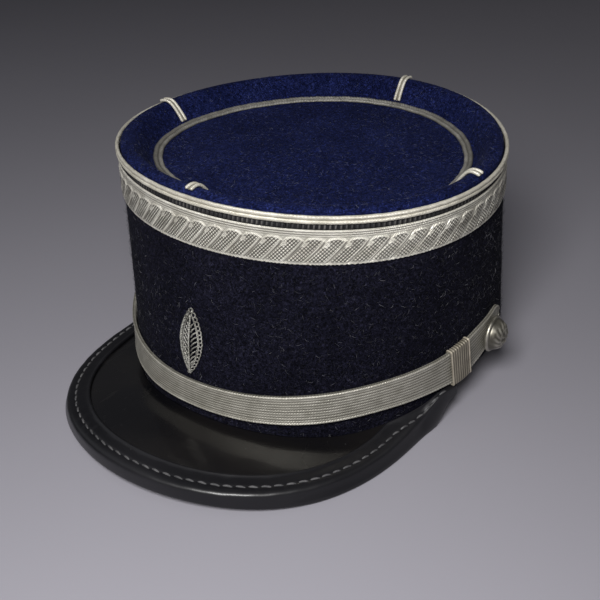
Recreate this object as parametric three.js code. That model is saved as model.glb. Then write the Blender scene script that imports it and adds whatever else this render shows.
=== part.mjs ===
// Kepi cap: a stiff felt band on an oval head opening, a sunken blue felt crown with a rounded rim, silver
// lace and piping round the top, a silver chin strap between two buttons, an embroidered badge and a
// bound leather visor. Millimetres, +Z up, the front of the cap and its visor towards -Y, the wearer's left +X.
// The cap stands on the two sides of its visor and on the back of its band.
import * as THREE from "three";
import { mergeVertices } from "three/addons/utils/BufferGeometryUtils.js";

// ---- Driving dimensions ------------------------------------------------------------------------------
// Ovals that the band stands between. half lengths run front to back, egg widens the front (negative) or the
// back, square fills out the quarters, tilt raises the front.
const TOP_OVAL = { halfLength: 82.0, halfWidth: 86.6, y: -8.0, z: 108.0, tilt: -0.052, egg: -0.11, square: 0.017 };
const BASE_OVAL = { halfLength: 102.0, halfWidth: 85.6, y: 0, z: 3.0, tilt: 0.0297, egg: 0.007, square: -0.038 };
const CENTRE_Y = -20.9475; // middle of the cap from the visor's front to the back of the band

const FELT = 2.5; // wall of the band
const CROWN_FELT = 2.0;
const GAP = 0.3; // between pieces that lie on each other
const ROUND = 72; // sections round the head

// Lower edge of the felt above the base oval: over the ears it rises to the strap, at the nape it comes down.
const RIM_ROWS = [
  { theta: 0, lift: 2.6 },
  { theta: 30, lift: 0.6 },
  { theta: 50, lift: 0.6 },
  { theta: 66, lift: 5.0 },
  { theta: 84, lift: 12.2 },
  { theta: 104, lift: 12.6 },
  { theta: 125, lift: 8.6 },
  { theta: 150, lift: 2.6 },
  { theta: 168, lift: 0.1 },
  { theta: 180, lift: 0 },
];

// Trim round the top of the band: distance down the wall from the top oval, and how far it stands out.
const PIPING = { from: -3.4, to: 0.05, out: 1.9 };
const GROSGRAIN = { from: 0.35, to: 2.25, out: 0.95 };
const LACE = { from: 2.55, to: 16.9, out: 1.35 };

// Crown, from the outer edge inwards: inset from the top oval and height over its plane.
const CROWN_ROWS = [
  { name: "skirt", inset: 0.35, height: 0.35 },
  { name: "over_piping", inset: 0.5, height: 3.2 },
  { name: "shoulder", inset: 0.95, height: 3.95 },
  { name: "shoulder_top", inset: 1.9, height: 4.5 },
  { name: "rim", inset: 3.2, height: 4.8 },
  { name: "crest", inset: 4.9, height: 4.75 },
  { name: "turn", inset: 6.4, height: 4.0 },
  { name: "slope_high", inset: 8.2, height: 2.0 },
  { name: "slope_low", inset: 10.4, height: -1.2 },
  { name: "foot", inset: 12.6, height: -4.4 },
  { name: "under_ring", inset: 18.2, height: -6.2 },
  { name: "floor_edge", inset: 26, height: -6.5 },
  { name: "floor", inset: 50, height: -6.6 },
  { name: "centre", inset: 100, height: -6.4 },
];
const CROWN_SPLIT = 18.2; // outside this inset the crown keeps the oval's offset, inside it the oval shrinks to a point
const CROWN_RADIUS = 100; // lathe radius that stands for the top oval

// Oval braid on the slope of the crown, in the same inset and height.
const RING_BRAID = { outer: 12.9, inner: 17.9, thick: 1.15 };
// Four braids over the rim: where they lie and how wide they are.
const CROSS_BRAID = { from: 1.5, to: 12.3, width: 3.9, thick: 0.9 };
const CROSS_BRAID_AT = { braid_front: -2, braid_left: 83, braid_back: 180, braid_right: -83 };

// Chin strap: lower and upper edge above the base oval.
const STRAP_ROWS = [
  { theta: 0, low: 10.6, high: 22.3 },
  { theta: 20, low: 9.8, high: 22.8 },
  { theta: 38, low: 10.4, high: 25.0 },
  { theta: 55, low: 12.8, high: 28.0 },
  { theta: 71, low: 14.1, high: 31.0 },
  { theta: 79, low: 14.2, high: 33.4 },
  { theta: 86, low: 17.4, high: 36.2 },
  { theta: 92, low: 21.4, high: 37.7 },
  { theta: 100, low: 27.4, high: 39.6 },
];
const STRAP = { inner: 1.2, outer: 2.7, end: 100.5, roundFrom: 95.5, steps: 68, nominal: 14 };
const LOOP = { from: 74.6, to: 81.9, lean: 2.3, inner: 0.3, outer: 3.6, skin: 0.5, face: 0.6, margin: 0.8 };
const BUTTON = { theta: 92.7, above: 28.2, radius: 8.5, out: 3.0 };
const BUTTON_PROFILE = [
  { radius: 0, rise: 0 },
  { radius: 6.6, rise: 0 },
  { radius: 8.1, rise: 0.5 },
  { radius: 8.5, rise: 1.2 },
  { radius: 8.1, rise: 1.9 },
  { radius: 7.5, rise: 2.2 },
  { radius: 6.9, rise: 3.8 },
  { radius: 5.4, rise: 5.6 },
  { radius: 3.0, rise: 6.9 },
  { radius: 0, rise: 7.4 },
];

// Embroidered badge on the front, a plain pointed oval: outline of one half, from its foot up.
const BADGE = { foot: 24.3, inner: 0.3, outer: 2.4 };
const BADGE_HALF = [
  { out: 0, up: 0 },
  { out: 1.9, up: 2.0 },
  { out: 3.9, up: 5.6 },
  { out: 5.5, up: 10.2 },
  { out: 6.2, up: 15.2 },
  { out: 5.5, up: 20.2 },
  { out: 3.9, up: 24.8 },
  { out: 1.9, up: 28.4 },
  { out: 0, up: 30.4 },
];

// Visor: outer edge as a polar curve about a point on the middle line, and the line where it meets the band.
const VISOR_EDGE = { mean: 110.5, second: 30.8, fourth: -0.5, sixth: -1.15, y: -4.2, front: 10.85, back: 0.019, arch: -5.2 };
const VISOR = { least: 2.6, soft: 2.0, clear: 0.7, fullWidth: 42, polarEnd: 77.2, bandEnd: 78.5, sheet: 2.4, cover: 1.3, crown: 1.1, rows: 14, steps: 64 };
const VISOR_ROOT_ROWS = [
  { theta: 0, z: 13.6 },
  { theta: 15, z: 12.3 },
  { theta: 30, z: 9.9 },
  { theta: 47, z: 8.6 },
  { theta: 61, z: 11.4 },
  { theta: 68, z: 13.8 },
  { theta: 73, z: 15.9 },
  { theta: 78.5, z: 16.2 },
];
// Rear corners, by the angle where they lie against the band: how far the edge rises to the strap, and how much
// of the binding hangs under it.
const CORNER_ROWS = [
  { theta: 0, rise: 0, hang: 1 },
  { theta: 60, rise: 0, hang: 1 },
  { theta: 65, rise: 0.3, hang: 1.2 },
  { theta: 68, rise: 3.6, hang: 1.95 },
  { theta: 70.5, rise: 6.4, hang: 2.4 },
  { theta: 73, rise: 8.1, hang: 1.75 },
  { theta: 75.5, rise: 8.5, hang: 0.75 },
  { theta: 78.5, rise: 8.5, hang: 0.15 },
];
const BINDING_WIDTH = 11;
// Section of the binding: inset from the visor's edge and drop below its upper face.
const BINDING_SECTION = [
  { inset: 11, drop: 0 },
  { inset: 6, drop: 0 },
  { inset: 1.3, drop: 0 },
  { inset: 0.35, drop: 0.55 },
  { inset: 0, drop: 1.6 },
  { inset: 0, drop: 6.0 },
  { inset: 0.6, drop: 7.2 },
  { inset: 1.9, drop: 7.6 },
  { inset: 4.3, drop: 7.6 },
  { inset: 5.0, drop: 6.8 },
  { inset: 5.0, drop: 4.05 },
  { inset: 1.6, drop: 4.05 },
  { inset: 1.6, drop: 0.95 },
  { inset: 6, drop: 0.95 },
  { inset: 11, drop: 0.95 },
];
// Along the visor's sides the binding's outer face leans out towards its lower edge.
const FLARE = { out: 2.0, from: 0.12, full: 0.5, fade: 0.85, drop: 6 };
const SHEET_EDGE = 1.95; // the visor's sheet ends this far inside its binding

// ---- Surfaces the pieces are laid on -------------------------------------------------------------------
const rad = THREE.MathUtils.degToRad;
const lerp = THREE.MathUtils.lerp;

// Smooth value of one named column at an angle or inset, between the rows of a table.
function column(rows, at, key, name) {
  let i = 0;
  while (i < rows.length - 2 && at > rows[i + 1][key]) i++;
  const a = rows[i],
    b = rows[i + 1],
    span = b[key] - a[key],
    t = THREE.MathUtils.clamp((at - a[key]) / span, 0, 1);
  const slope = (p, q) => (q[name] - p[name]) / (q[key] - p[key]);
  const before = i > 0 ? (slope(rows[i - 1], a) + slope(a, b)) / 2 : 0;
  const after = i < rows.length - 2 ? (slope(a, b) + slope(b, rows[i + 2])) / 2 : 0;
  const t2 = t * t,
    t3 = t2 * t;
  return (
    (2 * t3 - 3 * t2 + 1) * a[name] + (t3 - 2 * t2 + t) * span * before + (3 * t2 - 2 * t3) * b[name] + (t3 - t2) * span * after
  );
}

const degreesFromFront = (theta) => Math.abs(THREE.MathUtils.radToDeg(Math.atan2(Math.sin(theta), Math.cos(theta))));

// A point of an oval, theta from the front towards the wearer's left, inset in its plane and height over it.
function ovalPoint(oval, theta, inset = 0, height = 0) {
  const s = Math.sin(theta),
    c = Math.cos(theta),
    quarter = 1 + oval.square * (s * c) ** 2;
  const x = (oval.halfWidth - inset) * s * (1 - oval.egg * c) * quarter;
  const y = -(oval.halfLength - inset) * c * quarter;
  return new THREE.Vector3(
    x,
    y * Math.cos(oval.tilt) + height * Math.sin(oval.tilt) + oval.y,
    -y * Math.sin(oval.tilt) + height * Math.cos(oval.tilt) + oval.z,
  );
}

const wallLength = (theta) => ovalPoint(TOP_OVAL, theta).distanceTo(ovalPoint(BASE_OVAL, theta));
const onWall = (theta, down) => ovalPoint(TOP_OVAL, theta).lerp(ovalPoint(BASE_OVAL, theta), down / wallLength(theta));

// Outward direction of the wall in plan.
function wallNormal(theta, down) {
  const step = 1e-3,
    along = onWall(theta + step, down).sub(onWall(theta - step, down));
  return new THREE.Vector3(along.y, -along.x, 0).normalize();
}

const wallPoint = (theta, down, out) => onWall(theta, down).addScaledVector(wallNormal(theta, down), out);
const wallPointAbove = (theta, above, out) => wallPoint(theta, wallLength(theta) - above, out);
const rimLift = (theta) => column(RIM_ROWS, degreesFromFront(theta), "theta", "lift");
const strapEdge = (theta, name) => column(STRAP_ROWS, degreesFromFront(theta), "theta", name);

// A point of the crown: lathe radius CROWN_RADIUS is the top oval, 0 its middle.
function crownPoint(theta, radius, height) {
  const inset = CROWN_RADIUS - radius;
  if (inset <= CROWN_SPLIT) return ovalPoint(TOP_OVAL, theta, inset, height);
  const middle = ovalPoint({ ...TOP_OVAL, halfLength: 0, halfWidth: 0 }, 0, 0, height);
  return middle.lerp(ovalPoint(TOP_OVAL, theta, CROWN_SPLIT, height), radius / (CROWN_RADIUS - CROWN_SPLIT));
}

// The crown's upper surface as a smooth line of inset and height.
const crownLine = new THREE.CatmullRomCurve3(
  CROWN_ROWS.map((row) => new THREE.Vector3(row.inset, row.height, 0)),
  false,
  "centripetal",
);
function crownAt(inset) {
  let low = 0,
    high = 1;
  for (let i = 0; i < 24; i++) {
    const mid = (low + high) / 2;
    if (crownLine.getPoint(mid).x < inset) low = mid;
    else high = mid;
  }
  const t = (low + high) / 2,
    point = crownLine.getPoint(t),
    along = crownLine.getTangent(t);
  return { point, normal: new THREE.Vector3(-along.y, along.x, 0) };
}
const crownOffset = (inset, rise) => {
  const { point, normal } = crownAt(inset);
  return new THREE.Vector2(CROWN_RADIUS - (point.x + normal.x * rise), point.y + normal.y * rise);
};

// Visor: the two ends of its section at part of its way round (-1 at the wearer's right to 1 at the left).
function visorSection(part) {
  const polar = rad(VISOR.polarEnd) * part,
    theta = rad(VISOR.bandEnd) * part,
    e = VISOR_EDGE,
    radius = e.mean + e.second * Math.cos(2 * polar) + e.fourth * Math.cos(4 * polar) + e.sixth * Math.cos(6 * polar),
    x = radius * Math.sin(polar),
    y = e.y - radius * Math.cos(polar),
    front = e.y - (e.mean + e.second + e.fourth + e.sixth);
  const rise = column(CORNER_ROWS, degreesFromFront(theta), "theta", "rise");
  const edge = new THREE.Vector3(x, y, e.front + e.back * (y - front) + e.arch * (x / 80) ** 2 + rise);
  const rootZ = column(VISOR_ROOT_ROWS, degreesFromFront(theta), "theta", "z");
  const above = (rootZ - ovalPoint(BASE_OVAL, theta).z) / 0.995;
  const root = wallPointAbove(theta, above, VISOR.clear);
  root.z = rootZ;
  // Towards its corners the visor narrows smoothly to its least width instead of running into the band.
  const n = wallNormal(theta, 90),
    out = (edge.x - root.x) * n.x + (edge.y - root.y) * n.y,
    wider = (VISOR.least - out + Math.hypot(out - VISOR.least, VISOR.soft)) / 2;
  edge.set(edge.x + n.x * wider, edge.y + n.y * wider, edge.z);
  const flat = new THREE.Vector3(root.x - edge.x, root.y - edge.y, 0);
  return { edge, root, width: flat.length(), inwards: flat.clone().normalize() };
}

function visorPoint(part, inset, drop) {
  const { edge, root, width, inwards } = visorSection(part),
    t = THREE.MathUtils.clamp(inset / width, 0, 1);
  const p = edge.clone().addScaledVector(inwards, inset);
  const swell = VISOR.crown * Math.min(1, width / VISOR.fullWidth) ** 2;
  p.z = Math.max(lerp(edge.z, root.z, t) + swell * Math.sin(Math.PI * t) - drop, 0);
  return p;
}
const bindingScale = (part) => Math.min(1, (visorSection(part).width - 0.5) / BINDING_WIDTH);

// ---- Mesh making -----------------------------------------------------------------------------------------
// Moves every vertex of a three.js solid to its place on the cap and keeps the faces turned outwards.
function laid(geometry, place) {
  const flat = geometry.index ? geometry.toNonIndexed() : geometry,
    pos = flat.getAttribute("position"),
    v = new THREE.Vector3();
  for (let i = 0; i < pos.count; i++) {
    const p = place(v.fromBufferAttribute(pos, i));
    pos.setXYZ(i, p.x, p.y - CENTRE_Y, p.z);
  }
  const bare = new THREE.BufferGeometry().setAttribute("position", pos.clone()),
    merged = mergeVertices(bare, 1e-3),
    index = merged.index.array,
    at = merged.getAttribute("position"),
    a = new THREE.Vector3(),
    b = new THREE.Vector3(),
    c = new THREE.Vector3();
  const faces = [];
  let volume = 0;
  for (let i = 0; i < index.length; i += 3) {
    const [p, q, r] = [index[i], index[i + 1], index[i + 2]];
    if (p === q || q === r || r === p) continue;
    faces.push([p, q, r]);
    volume += a.fromBufferAttribute(at, p).dot(b.fromBufferAttribute(at, q).cross(c.fromBufferAttribute(at, r)));
  }
  merged.setIndex(faces.flatMap(([p, q, r]) => (volume < 0 ? [p, r, q] : [p, q, r])));
  merged.computeVertexNormals();
  return merged;
}

// A closed ring of one section round the head; the section is in lathe radius and height.
function ringSolid(section, place) {
  const points = section.map(([x, y]) => new THREE.Vector2(x, y));
  if (section[0][0] > 0) points.push(points[0].clone());
  return laid(new THREE.LatheGeometry(points, ROUND), (v) => place(Math.atan2(v.x, v.z), Math.hypot(v.x, v.z), v.y));
}

// A length of one section; the section is in its own x and y, and z runs from 0 to 1 along it.
function lengthSolid(outline, hole, steps, place) {
  const shape = new THREE.Shape(outline.map(([x, y]) => new THREE.Vector2(x, y)));
  if (hole) shape.holes.push(new THREE.Path(hole.map(([x, y]) => new THREE.Vector2(x, y))));
  const solid = new THREE.ExtrudeGeometry(shape, { depth: 1, steps, bevelEnabled: false });
  return laid(solid, (v) => place(v.x, v.y, v.z));
}

const root = new THREE.Group();
root.name = "kepi_cap";
function add(name, geometry, colour, roughness, metalness) {
  const mesh = new THREE.Mesh(geometry, new THREE.MeshStandardMaterial({ color: colour, roughness, metalness }));
  mesh.name = name;
  root.add(mesh);
}

// Band between two heights on the wall: the section's radius less WALL_RADIUS is its distance out.
const WALL_RADIUS = 100;
const trimRing = ({ from, to, out }, sectionOf) =>
  ringSolid(sectionOf(from, to, out), (theta, radius, down) => wallPoint(theta, down, radius - WALL_RADIUS));

// ---- The pieces ---------------------------------------------------------------------------------------------
// Felt band, open at the bottom, its lower edge following RIM_ROWS.
{
  const rows = [0, 0.08, 0.2, 0.4, 0.6, 0.8, 0.92, 1];
  const section = [
    ...rows.map((part) => [WALL_RADIUS, part]),
    ...[...rows].reverse().map((part) => [WALL_RADIUS - FELT, part]),
  ];
  const geometry = ringSolid(section, (theta, radius, part) => {
    const p = wallPoint(theta, part * (wallLength(theta) - rimLift(theta)), radius - WALL_RADIUS);
    p.z = Math.max(p.z, 0);
    return p;
  });
  add("body_band", geometry, 0x16161e, 0.95, 0);
}

// Crown: rounded rim, inner slope and sunken floor, one felt thickness all over.
{
  const outer = [];
  for (const row of [...CROWN_ROWS].reverse()) outer.push([CROWN_RADIUS - row.inset, row.height]);
  const inner = [
    [CROWN_RADIUS - CROWN_FELT - 0.2, 0.35],
    [CROWN_RADIUS - CROWN_FELT - 0.2, 2.4],
    [CROWN_RADIUS - 4.3, 2.75],
    [CROWN_RADIUS - 6.7, 1.0],
    [CROWN_RADIUS - 9.2, -2.6],
    [CROWN_RADIUS - 11.8, -6.3],
    [CROWN_RADIUS - CROWN_SPLIT, -8.25],
    [CROWN_RADIUS - 50, -8.6],
    [0, -8.4],
  ];
  add("crown_top", ringSolid([...outer, ...inner], crownPoint), 0x181c38, 0.95, 0);
}

// Double cord round the top edge.
add(
  "top_piping",
  trimRing(PIPING, (from, to, out) => {
    const middle = (from + to) / 2,
      r = WALL_RADIUS;
    return [
      [r + GAP, from],
      [r + out * 0.75, from],
      [r + out, from + 0.5],
      [r + out, middle - 0.5],
      [r + out * 0.78, middle],
      [r + out, middle + 0.5],
      [r + out, to - 0.5],
      [r + out * 0.75, to],
      [r + GAP, to],
    ];
  }),
  0xb9b4a8,
  0.45,
  0.6,
);

const flatTrim = (from, to, out) => [
  [WALL_RADIUS + GAP, from],
  [WALL_RADIUS + out, from],
  [WALL_RADIUS + out, (from + to) / 2],
  [WALL_RADIUS + out, to],
  [WALL_RADIUS + GAP, to],
  [WALL_RADIUS + GAP, (from + to) / 2],
];
add("grosgrain_ribbon", trimRing(GROSGRAIN, flatTrim), 0x0c0c10, 0.8, 0);
add("lace_band", trimRing(LACE, flatTrim), 0xc1bbae, 0.45, 0.6);

// Oval braid on the crown's slope.
{
  const middle = (RING_BRAID.outer + RING_BRAID.inner) / 2;
  const at = (inset, rise) => crownOffset(inset, rise).toArray();
  const section = [
    at(RING_BRAID.outer, GAP),
    at(RING_BRAID.outer + 0.5, RING_BRAID.thick + GAP),
    at(middle, RING_BRAID.thick + GAP - 0.2),
    at(RING_BRAID.inner - 0.5, RING_BRAID.thick + GAP),
    at(RING_BRAID.inner, GAP),
    at(middle, GAP),
  ];
  add(
    "ring_braid",
    ringSolid(section, (theta, radius, height) => ovalPoint(TOP_OVAL, theta, CROWN_RADIUS - radius, height)),
    0x9c988e,
    0.5,
    0.5,
  );
}

// Short braids over the rim, down to the oval braid.
for (const [name, degrees] of Object.entries(CROSS_BRAID_AT)) {
  const theta = rad(degrees),
    step = 1e-3,
    along = ovalPoint(TOP_OVAL, theta + step, 5).sub(ovalPoint(TOP_OVAL, theta - step, 5)).normalize();
  const across = new THREE.BoxGeometry(1, 1, 1, 4, 1, 14);
  add(
    name,
    laid(across, (v) => {
      const section = crownOffset(lerp(CROSS_BRAID.from, CROSS_BRAID.to, v.z + 0.5), GAP + (v.y + 0.5) * CROSS_BRAID.thick);
      return crownPoint(theta, section.x, section.y).addScaledVector(along, v.x * CROSS_BRAID.width);
    }),
    0xb9b4a8,
    0.5,
    0.5,
  );
}

// Chin strap across the front, its rounded ends under the buttons.
{
  const outline = [
    [STRAP.inner, 0],
    [STRAP.outer, 0],
    [STRAP.outer, 0.5],
    [STRAP.outer, 1],
    [STRAP.inner, 1],
    [STRAP.inner, 0.5],
  ];
  const roundedPart = (degrees) => {
    const over = (Math.abs(degrees) - STRAP.roundFrom) / (STRAP.end - STRAP.roundFrom + 0.15);
    return over <= 0 ? 1 : Math.sqrt(Math.max(0, 1 - over * over));
  };
  add(
    "chin_strap",
    lengthSolid(outline, null, STRAP.steps, (out, part, along) => {
      const spread = 2 * along - 1,
        degrees = STRAP.end * Math.sign(spread) * (1 - (1 - Math.abs(spread)) ** 1.35),
        theta = rad(degrees),
        low = strapEdge(theta, "low"),
        high = strapEdge(theta, "high"),
        middle = (low + high) / 2;
      return wallPointAbove(theta, middle + (part - 0.5) * (high - low) * roundedPart(degrees), out);
    }),
    0x96928a,
    0.45,
    0.6,
  );
}

// Sliding loops round the strap, next to the buttons.
for (const [name, side] of [["strap_loop_left", 1], ["strap_loop_right", -1]]) {
  const box = (low, high, from, to) => [
    [low, from],
    [high, from],
    [high, to],
    [low, to],
  ];
  const { inner, outer, skin, face, margin } = LOOP,
    width = STRAP.nominal;
  add(
    name,
    lengthSolid(
      box(inner, outer, -margin, width + margin),
      box(inner + 0.6, outer - face, -margin + skin, width + margin - skin),
      4,
      (out, across, along) => {
        const theta = rad(side * (lerp(LOOP.from, LOOP.to, along) + LOOP.lean * (0.5 - across / width))),
          low = strapEdge(theta, "low"),
          high = strapEdge(theta, "high");
        return wallPointAbove(theta, low + (across * (high - low)) / width, out);
      },
    ),
    0x847c70,
    0.5,
    0.5,
  );
}

// Domed buttons through the ends of the strap.
for (const [name, side] of [["button_left", 1], ["button_right", -1]]) {
  const theta = rad(side * BUTTON.theta),
    centre = wallPointAbove(theta, BUTTON.above, BUTTON.out),
    up = wallPointAbove(theta, BUTTON.above + 5, BUTTON.out).sub(centre).normalize(),
    axis = wallNormal(theta, 80).addScaledVector(up, -wallNormal(theta, 80).dot(up)).normalize(),
    sideways = new THREE.Vector3().crossVectors(axis, up);
  const profile = new THREE.LatheGeometry(BUTTON_PROFILE.map((row) => new THREE.Vector2(row.radius, row.rise)), 28);
  add(
    name,
    laid(profile, (v) =>
      centre.clone().addScaledVector(axis, v.y).addScaledVector(up, v.x).addScaledVector(sideways, v.z),
    ),
    0x6a675c,
    0.35,
    0.9,
  );
}

// Badge: a raised pad with the outline of the embroidery, curved to the band.
{
  const right = BADGE_HALF.map((row) => new THREE.Vector2(row.out, row.up));
  const left = BADGE_HALF.slice(1, -1)
    .reverse()
    .map((row) => new THREE.Vector2(-row.out, row.up));
  const shape = new THREE.Shape([...right, ...left]);
  const solid = new THREE.ExtrudeGeometry(shape, { depth: BADGE.outer - BADGE.inner, steps: 1, bevelEnabled: false });
  const frontRadius = BASE_OVAL.halfWidth; // arc length per radian along the front of the band
  add(
    "badge",
    laid(solid, (v) => wallPointAbove(v.x / frontRadius, BADGE.foot + v.y, BADGE.inner + v.z)),
    0x8c8a84,
    0.5,
    0.5,
  );
}

// Visor: a thin curved sheet from the band to its bound edge.
{
  const sheet = new THREE.BoxGeometry(1, 1, 1, VISOR.rows, 1, VISOR.steps);
  add(
    "visor",
    laid(sheet, (v) => {
      const part = 2 * v.z,
        { width } = visorSection(part),
        inset = lerp(SHEET_EDGE * bindingScale(part), width, v.x + 0.5);
      return visorPoint(part, inset, VISOR.cover + (0.5 - v.y) * VISOR.sheet);
    }),
    0x0d0d10,
    0.2,
    0,
  );
}

// Binding: a folded strip over the visor's edge.
add(
  "visor_binding",
  lengthSolid(
    BINDING_SECTION.map((row) => [row.inset, row.drop]),
    null,
    VISOR.steps,
    (inset, drop, along) => {
      const part = 2 * along - 1;
      const way = Math.abs(part),
        { smoothstep } = THREE.MathUtils,
        flare = drop < FLARE.drop ? 0 : FLARE.out * smoothstep(way, FLARE.from, FLARE.full) * (1 - smoothstep(way, FLARE.fade, 1));
      const hang = column(CORNER_ROWS, VISOR.bandEnd * way, "theta", "hang");
      return visorPoint(part, inset * bindingScale(part) - flare, drop > 4.1 ? 4.1 + (drop - 4.1) * hang : drop);
    },
  ),
  0x101014,
  0.25,
  0,
);

export default root;
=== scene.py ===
# Looks of the kepi cap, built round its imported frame. The lengths below are millimetres in the cap's own frame
# (front towards -Y, wearer's left +X); placed() turns them into metres in the shared frame.
import math

import bmesh
import bpy
import numpy as np
from mathutils import Matrix, Vector


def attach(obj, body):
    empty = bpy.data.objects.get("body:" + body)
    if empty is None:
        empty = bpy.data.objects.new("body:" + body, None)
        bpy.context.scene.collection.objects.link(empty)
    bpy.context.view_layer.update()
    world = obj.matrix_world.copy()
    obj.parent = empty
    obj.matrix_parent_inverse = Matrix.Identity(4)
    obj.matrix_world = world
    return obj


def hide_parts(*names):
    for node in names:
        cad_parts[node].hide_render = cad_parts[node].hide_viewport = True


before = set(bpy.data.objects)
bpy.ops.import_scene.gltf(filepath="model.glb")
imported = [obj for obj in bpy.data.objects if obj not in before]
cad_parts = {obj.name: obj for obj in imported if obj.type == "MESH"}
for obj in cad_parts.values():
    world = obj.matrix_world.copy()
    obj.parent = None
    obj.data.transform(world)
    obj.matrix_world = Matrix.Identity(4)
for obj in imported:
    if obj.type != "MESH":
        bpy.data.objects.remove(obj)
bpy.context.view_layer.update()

# ---- Driving sizes, the same as the CAD's ---------------------------------------------------------------
TOP_OVAL = dict(half_length=82.0, half_width=86.6, y=-8.0, z=108.0, tilt=-0.052, egg=-0.11, square=0.017)
BASE_OVAL = dict(half_length=102.0, half_width=85.6, y=0.0, z=3.0, tilt=0.0297, egg=0.007, square=-0.038)
CENTRE_Y = -20.9475
FELT, CROWN_FELT, GAP = 2.5, 2.0, 0.3
RIM_ROWS = dict(theta=[0, 30, 50, 66, 84, 104, 125, 150, 168, 180], lift=[2.6, 0.6, 0.6, 5.0, 12.2, 12.6, 8.6, 2.6, 0.1, 0.0])
PIPING = dict(top=-3.4, bottom=0.05, out=1.9)
GROSGRAIN = dict(top=0.35, bottom=2.25, out=0.95, pitch=2.0)
LACE = dict(top=2.55, bottom=16.9, out=1.35, pitch=8.1)
CROWN_ROWS = dict(
    inset=[0.35, 0.5, 0.95, 1.9, 3.2, 4.9, 6.4, 8.2, 10.4, 12.6, 18.2, 26, 50, 100],
    height=[0.35, 3.2, 3.95, 4.5, 4.8, 4.75, 4.0, 2.0, -1.2, -4.4, -6.2, -6.5, -6.6, -6.4],
)
CROWN_UNDER = dict(
    inset=[100, 50, 18.2, 11.8, 9.2, 6.7, 4.3, 2.2, 2.2],
    height=[-8.4, -8.6, -8.25, -6.3, -2.6, 1.0, 2.75, 2.4, 0.35],
)
CROWN_SPLIT, CROWN_RADIUS = 18.2, 100.0
RING_BRAID = dict(outer=12.9, inner=17.9, thick=1.15)
CROSS_BRAID = dict(start=1.5, end=12.3, width=3.9, thick=0.9)
CROSS_BRAID_AT = dict(braid_front=-2, braid_left=83, braid_back=180, braid_right=-83)
STRAP_ROWS = dict(
    theta=[0, 20, 38, 55, 71, 79, 86, 92, 100],
    low=[10.6, 9.8, 10.4, 12.8, 14.1, 14.2, 17.4, 21.4, 27.4],
    high=[22.3, 22.8, 25.0, 28.0, 31.0, 33.4, 36.2, 37.7, 39.6],
)
STRAP = dict(inner=1.2, outer=2.7, end=100.5, round_from=95.5)
LOOP = dict(start=74.6, end=81.9, lean=2.3, inner=0.3, outer=3.6, skin=0.5, face=0.6, margin=0.8, nominal=14.0)
BUTTON = dict(theta=92.7, above=28.2, radius=8.5, out=3.0)
BUTTON_PROFILE = dict(
    radius=[0, 6.6, 7.7, 8.3, 8.5, 8.3, 7.85, 7.5, 7.3, 6.6, 5.4, 3.8, 2.0, 0],
    rise=[0, 0, 0.25, 0.7, 1.2, 1.75, 2.1, 2.25, 2.9, 4.3, 5.6, 6.6, 7.15, 7.3],
)
BADGE = dict(foot=24.3, inner=0.3, outer=2.4)
VISOR_EDGE = dict(mean=110.5, second=30.8, fourth=-0.5, sixth=-1.15, y=-4.2, front=10.85, back=0.019, arch=-5.2)
VISOR = dict(least=2.6, soft=2.0, clear=0.7, full_width=42.0, polar_end=77.2, band_end=78.5, sheet=2.4, cover=1.3, crown=1.1)
VISOR_ROOT_ROWS = dict(theta=[0, 15, 30, 47, 61, 68, 73, 78.5], z=[13.6, 12.3, 9.9, 8.6, 11.4, 13.8, 15.9, 16.2])
CORNER_ROWS = dict(
    theta=[0, 60, 65, 68, 70.5, 73, 75.5, 78.5],
    rise=[0, 0, 0.3, 3.6, 6.4, 8.1, 8.5, 8.5],
    hang=[1, 1, 1.2, 1.95, 2.4, 1.75, 0.75, 0.15],
)
FLARE = dict(out=2.0, start=0.12, full=0.5, fade=0.85)
BINDING_WIDTH, SHEET_EDGE = 11.0, 1.95

rng = np.random.default_rng(18)

# ---- Surfaces the pieces are laid on ------------------------------------------------------------------------
def vec(x, y, z):
    return np.stack(np.broadcast_arrays(x, y, z), -1).astype(float)


def unit(v):
    return v / np.maximum(np.linalg.norm(v, axis=-1, keepdims=True), 1e-12)


def dot(a, b):
    return (a * b).sum(-1, keepdims=True)


def column(rows, at, key, name):
    """Smooth value of one column of a table at the places at, between the rows' keys."""
    k, v = np.array(rows[key], float), np.array(rows[name], float)
    slope = np.diff(v) / np.diff(k)
    m = np.concatenate([[0], (slope[:-1] + slope[1:]) / 2, [0]])
    i = np.searchsorted(k[1:-1], at, side="left")
    span = k[i + 1] - k[i]
    t = np.clip((at - k[i]) / span, 0, 1)
    return (
        (2 * t**3 - 3 * t**2 + 1) * v[i] + (t**3 - 2 * t**2 + t) * span * m[i] + (3 * t**2 - 2 * t**3) * v[i + 1] + (t**3 - t**2) * span * m[i + 1]
    )


def from_front(theta):
    return np.abs(np.degrees(np.arctan2(np.sin(theta), np.cos(theta))))


def oval_point(oval, theta, inset=0.0, height=0.0):
    s, c = np.sin(theta), np.cos(theta)
    quarter = 1 + oval["square"] * (s * c) ** 2
    x = (oval["half_width"] - inset) * s * (1 - oval["egg"] * c) * quarter
    y = -(oval["half_length"] - inset) * c * quarter
    ct, st = math.cos(oval["tilt"]), math.sin(oval["tilt"])
    return vec(x, y * ct + height * st + oval["y"], -y * st + height * ct + oval["z"])


def wall_length(theta):
    return np.linalg.norm(oval_point(TOP_OVAL, theta) - oval_point(BASE_OVAL, theta), axis=-1)


def on_wall(theta, down):
    t = (down / wall_length(theta))[..., None]
    return oval_point(TOP_OVAL, theta) * (1 - t) + oval_point(BASE_OVAL, theta) * t


def wall_normal(theta, down):
    along = on_wall(theta + 1e-3, down) - on_wall(theta - 1e-3, down)
    return unit(vec(along[..., 1], -along[..., 0], 0 * along[..., 0]))


def wall_point(theta, down, out):
    theta, down, out = np.broadcast_arrays(theta, down, out)
    return on_wall(theta, down) + wall_normal(theta, down) * out[..., None]


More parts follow.
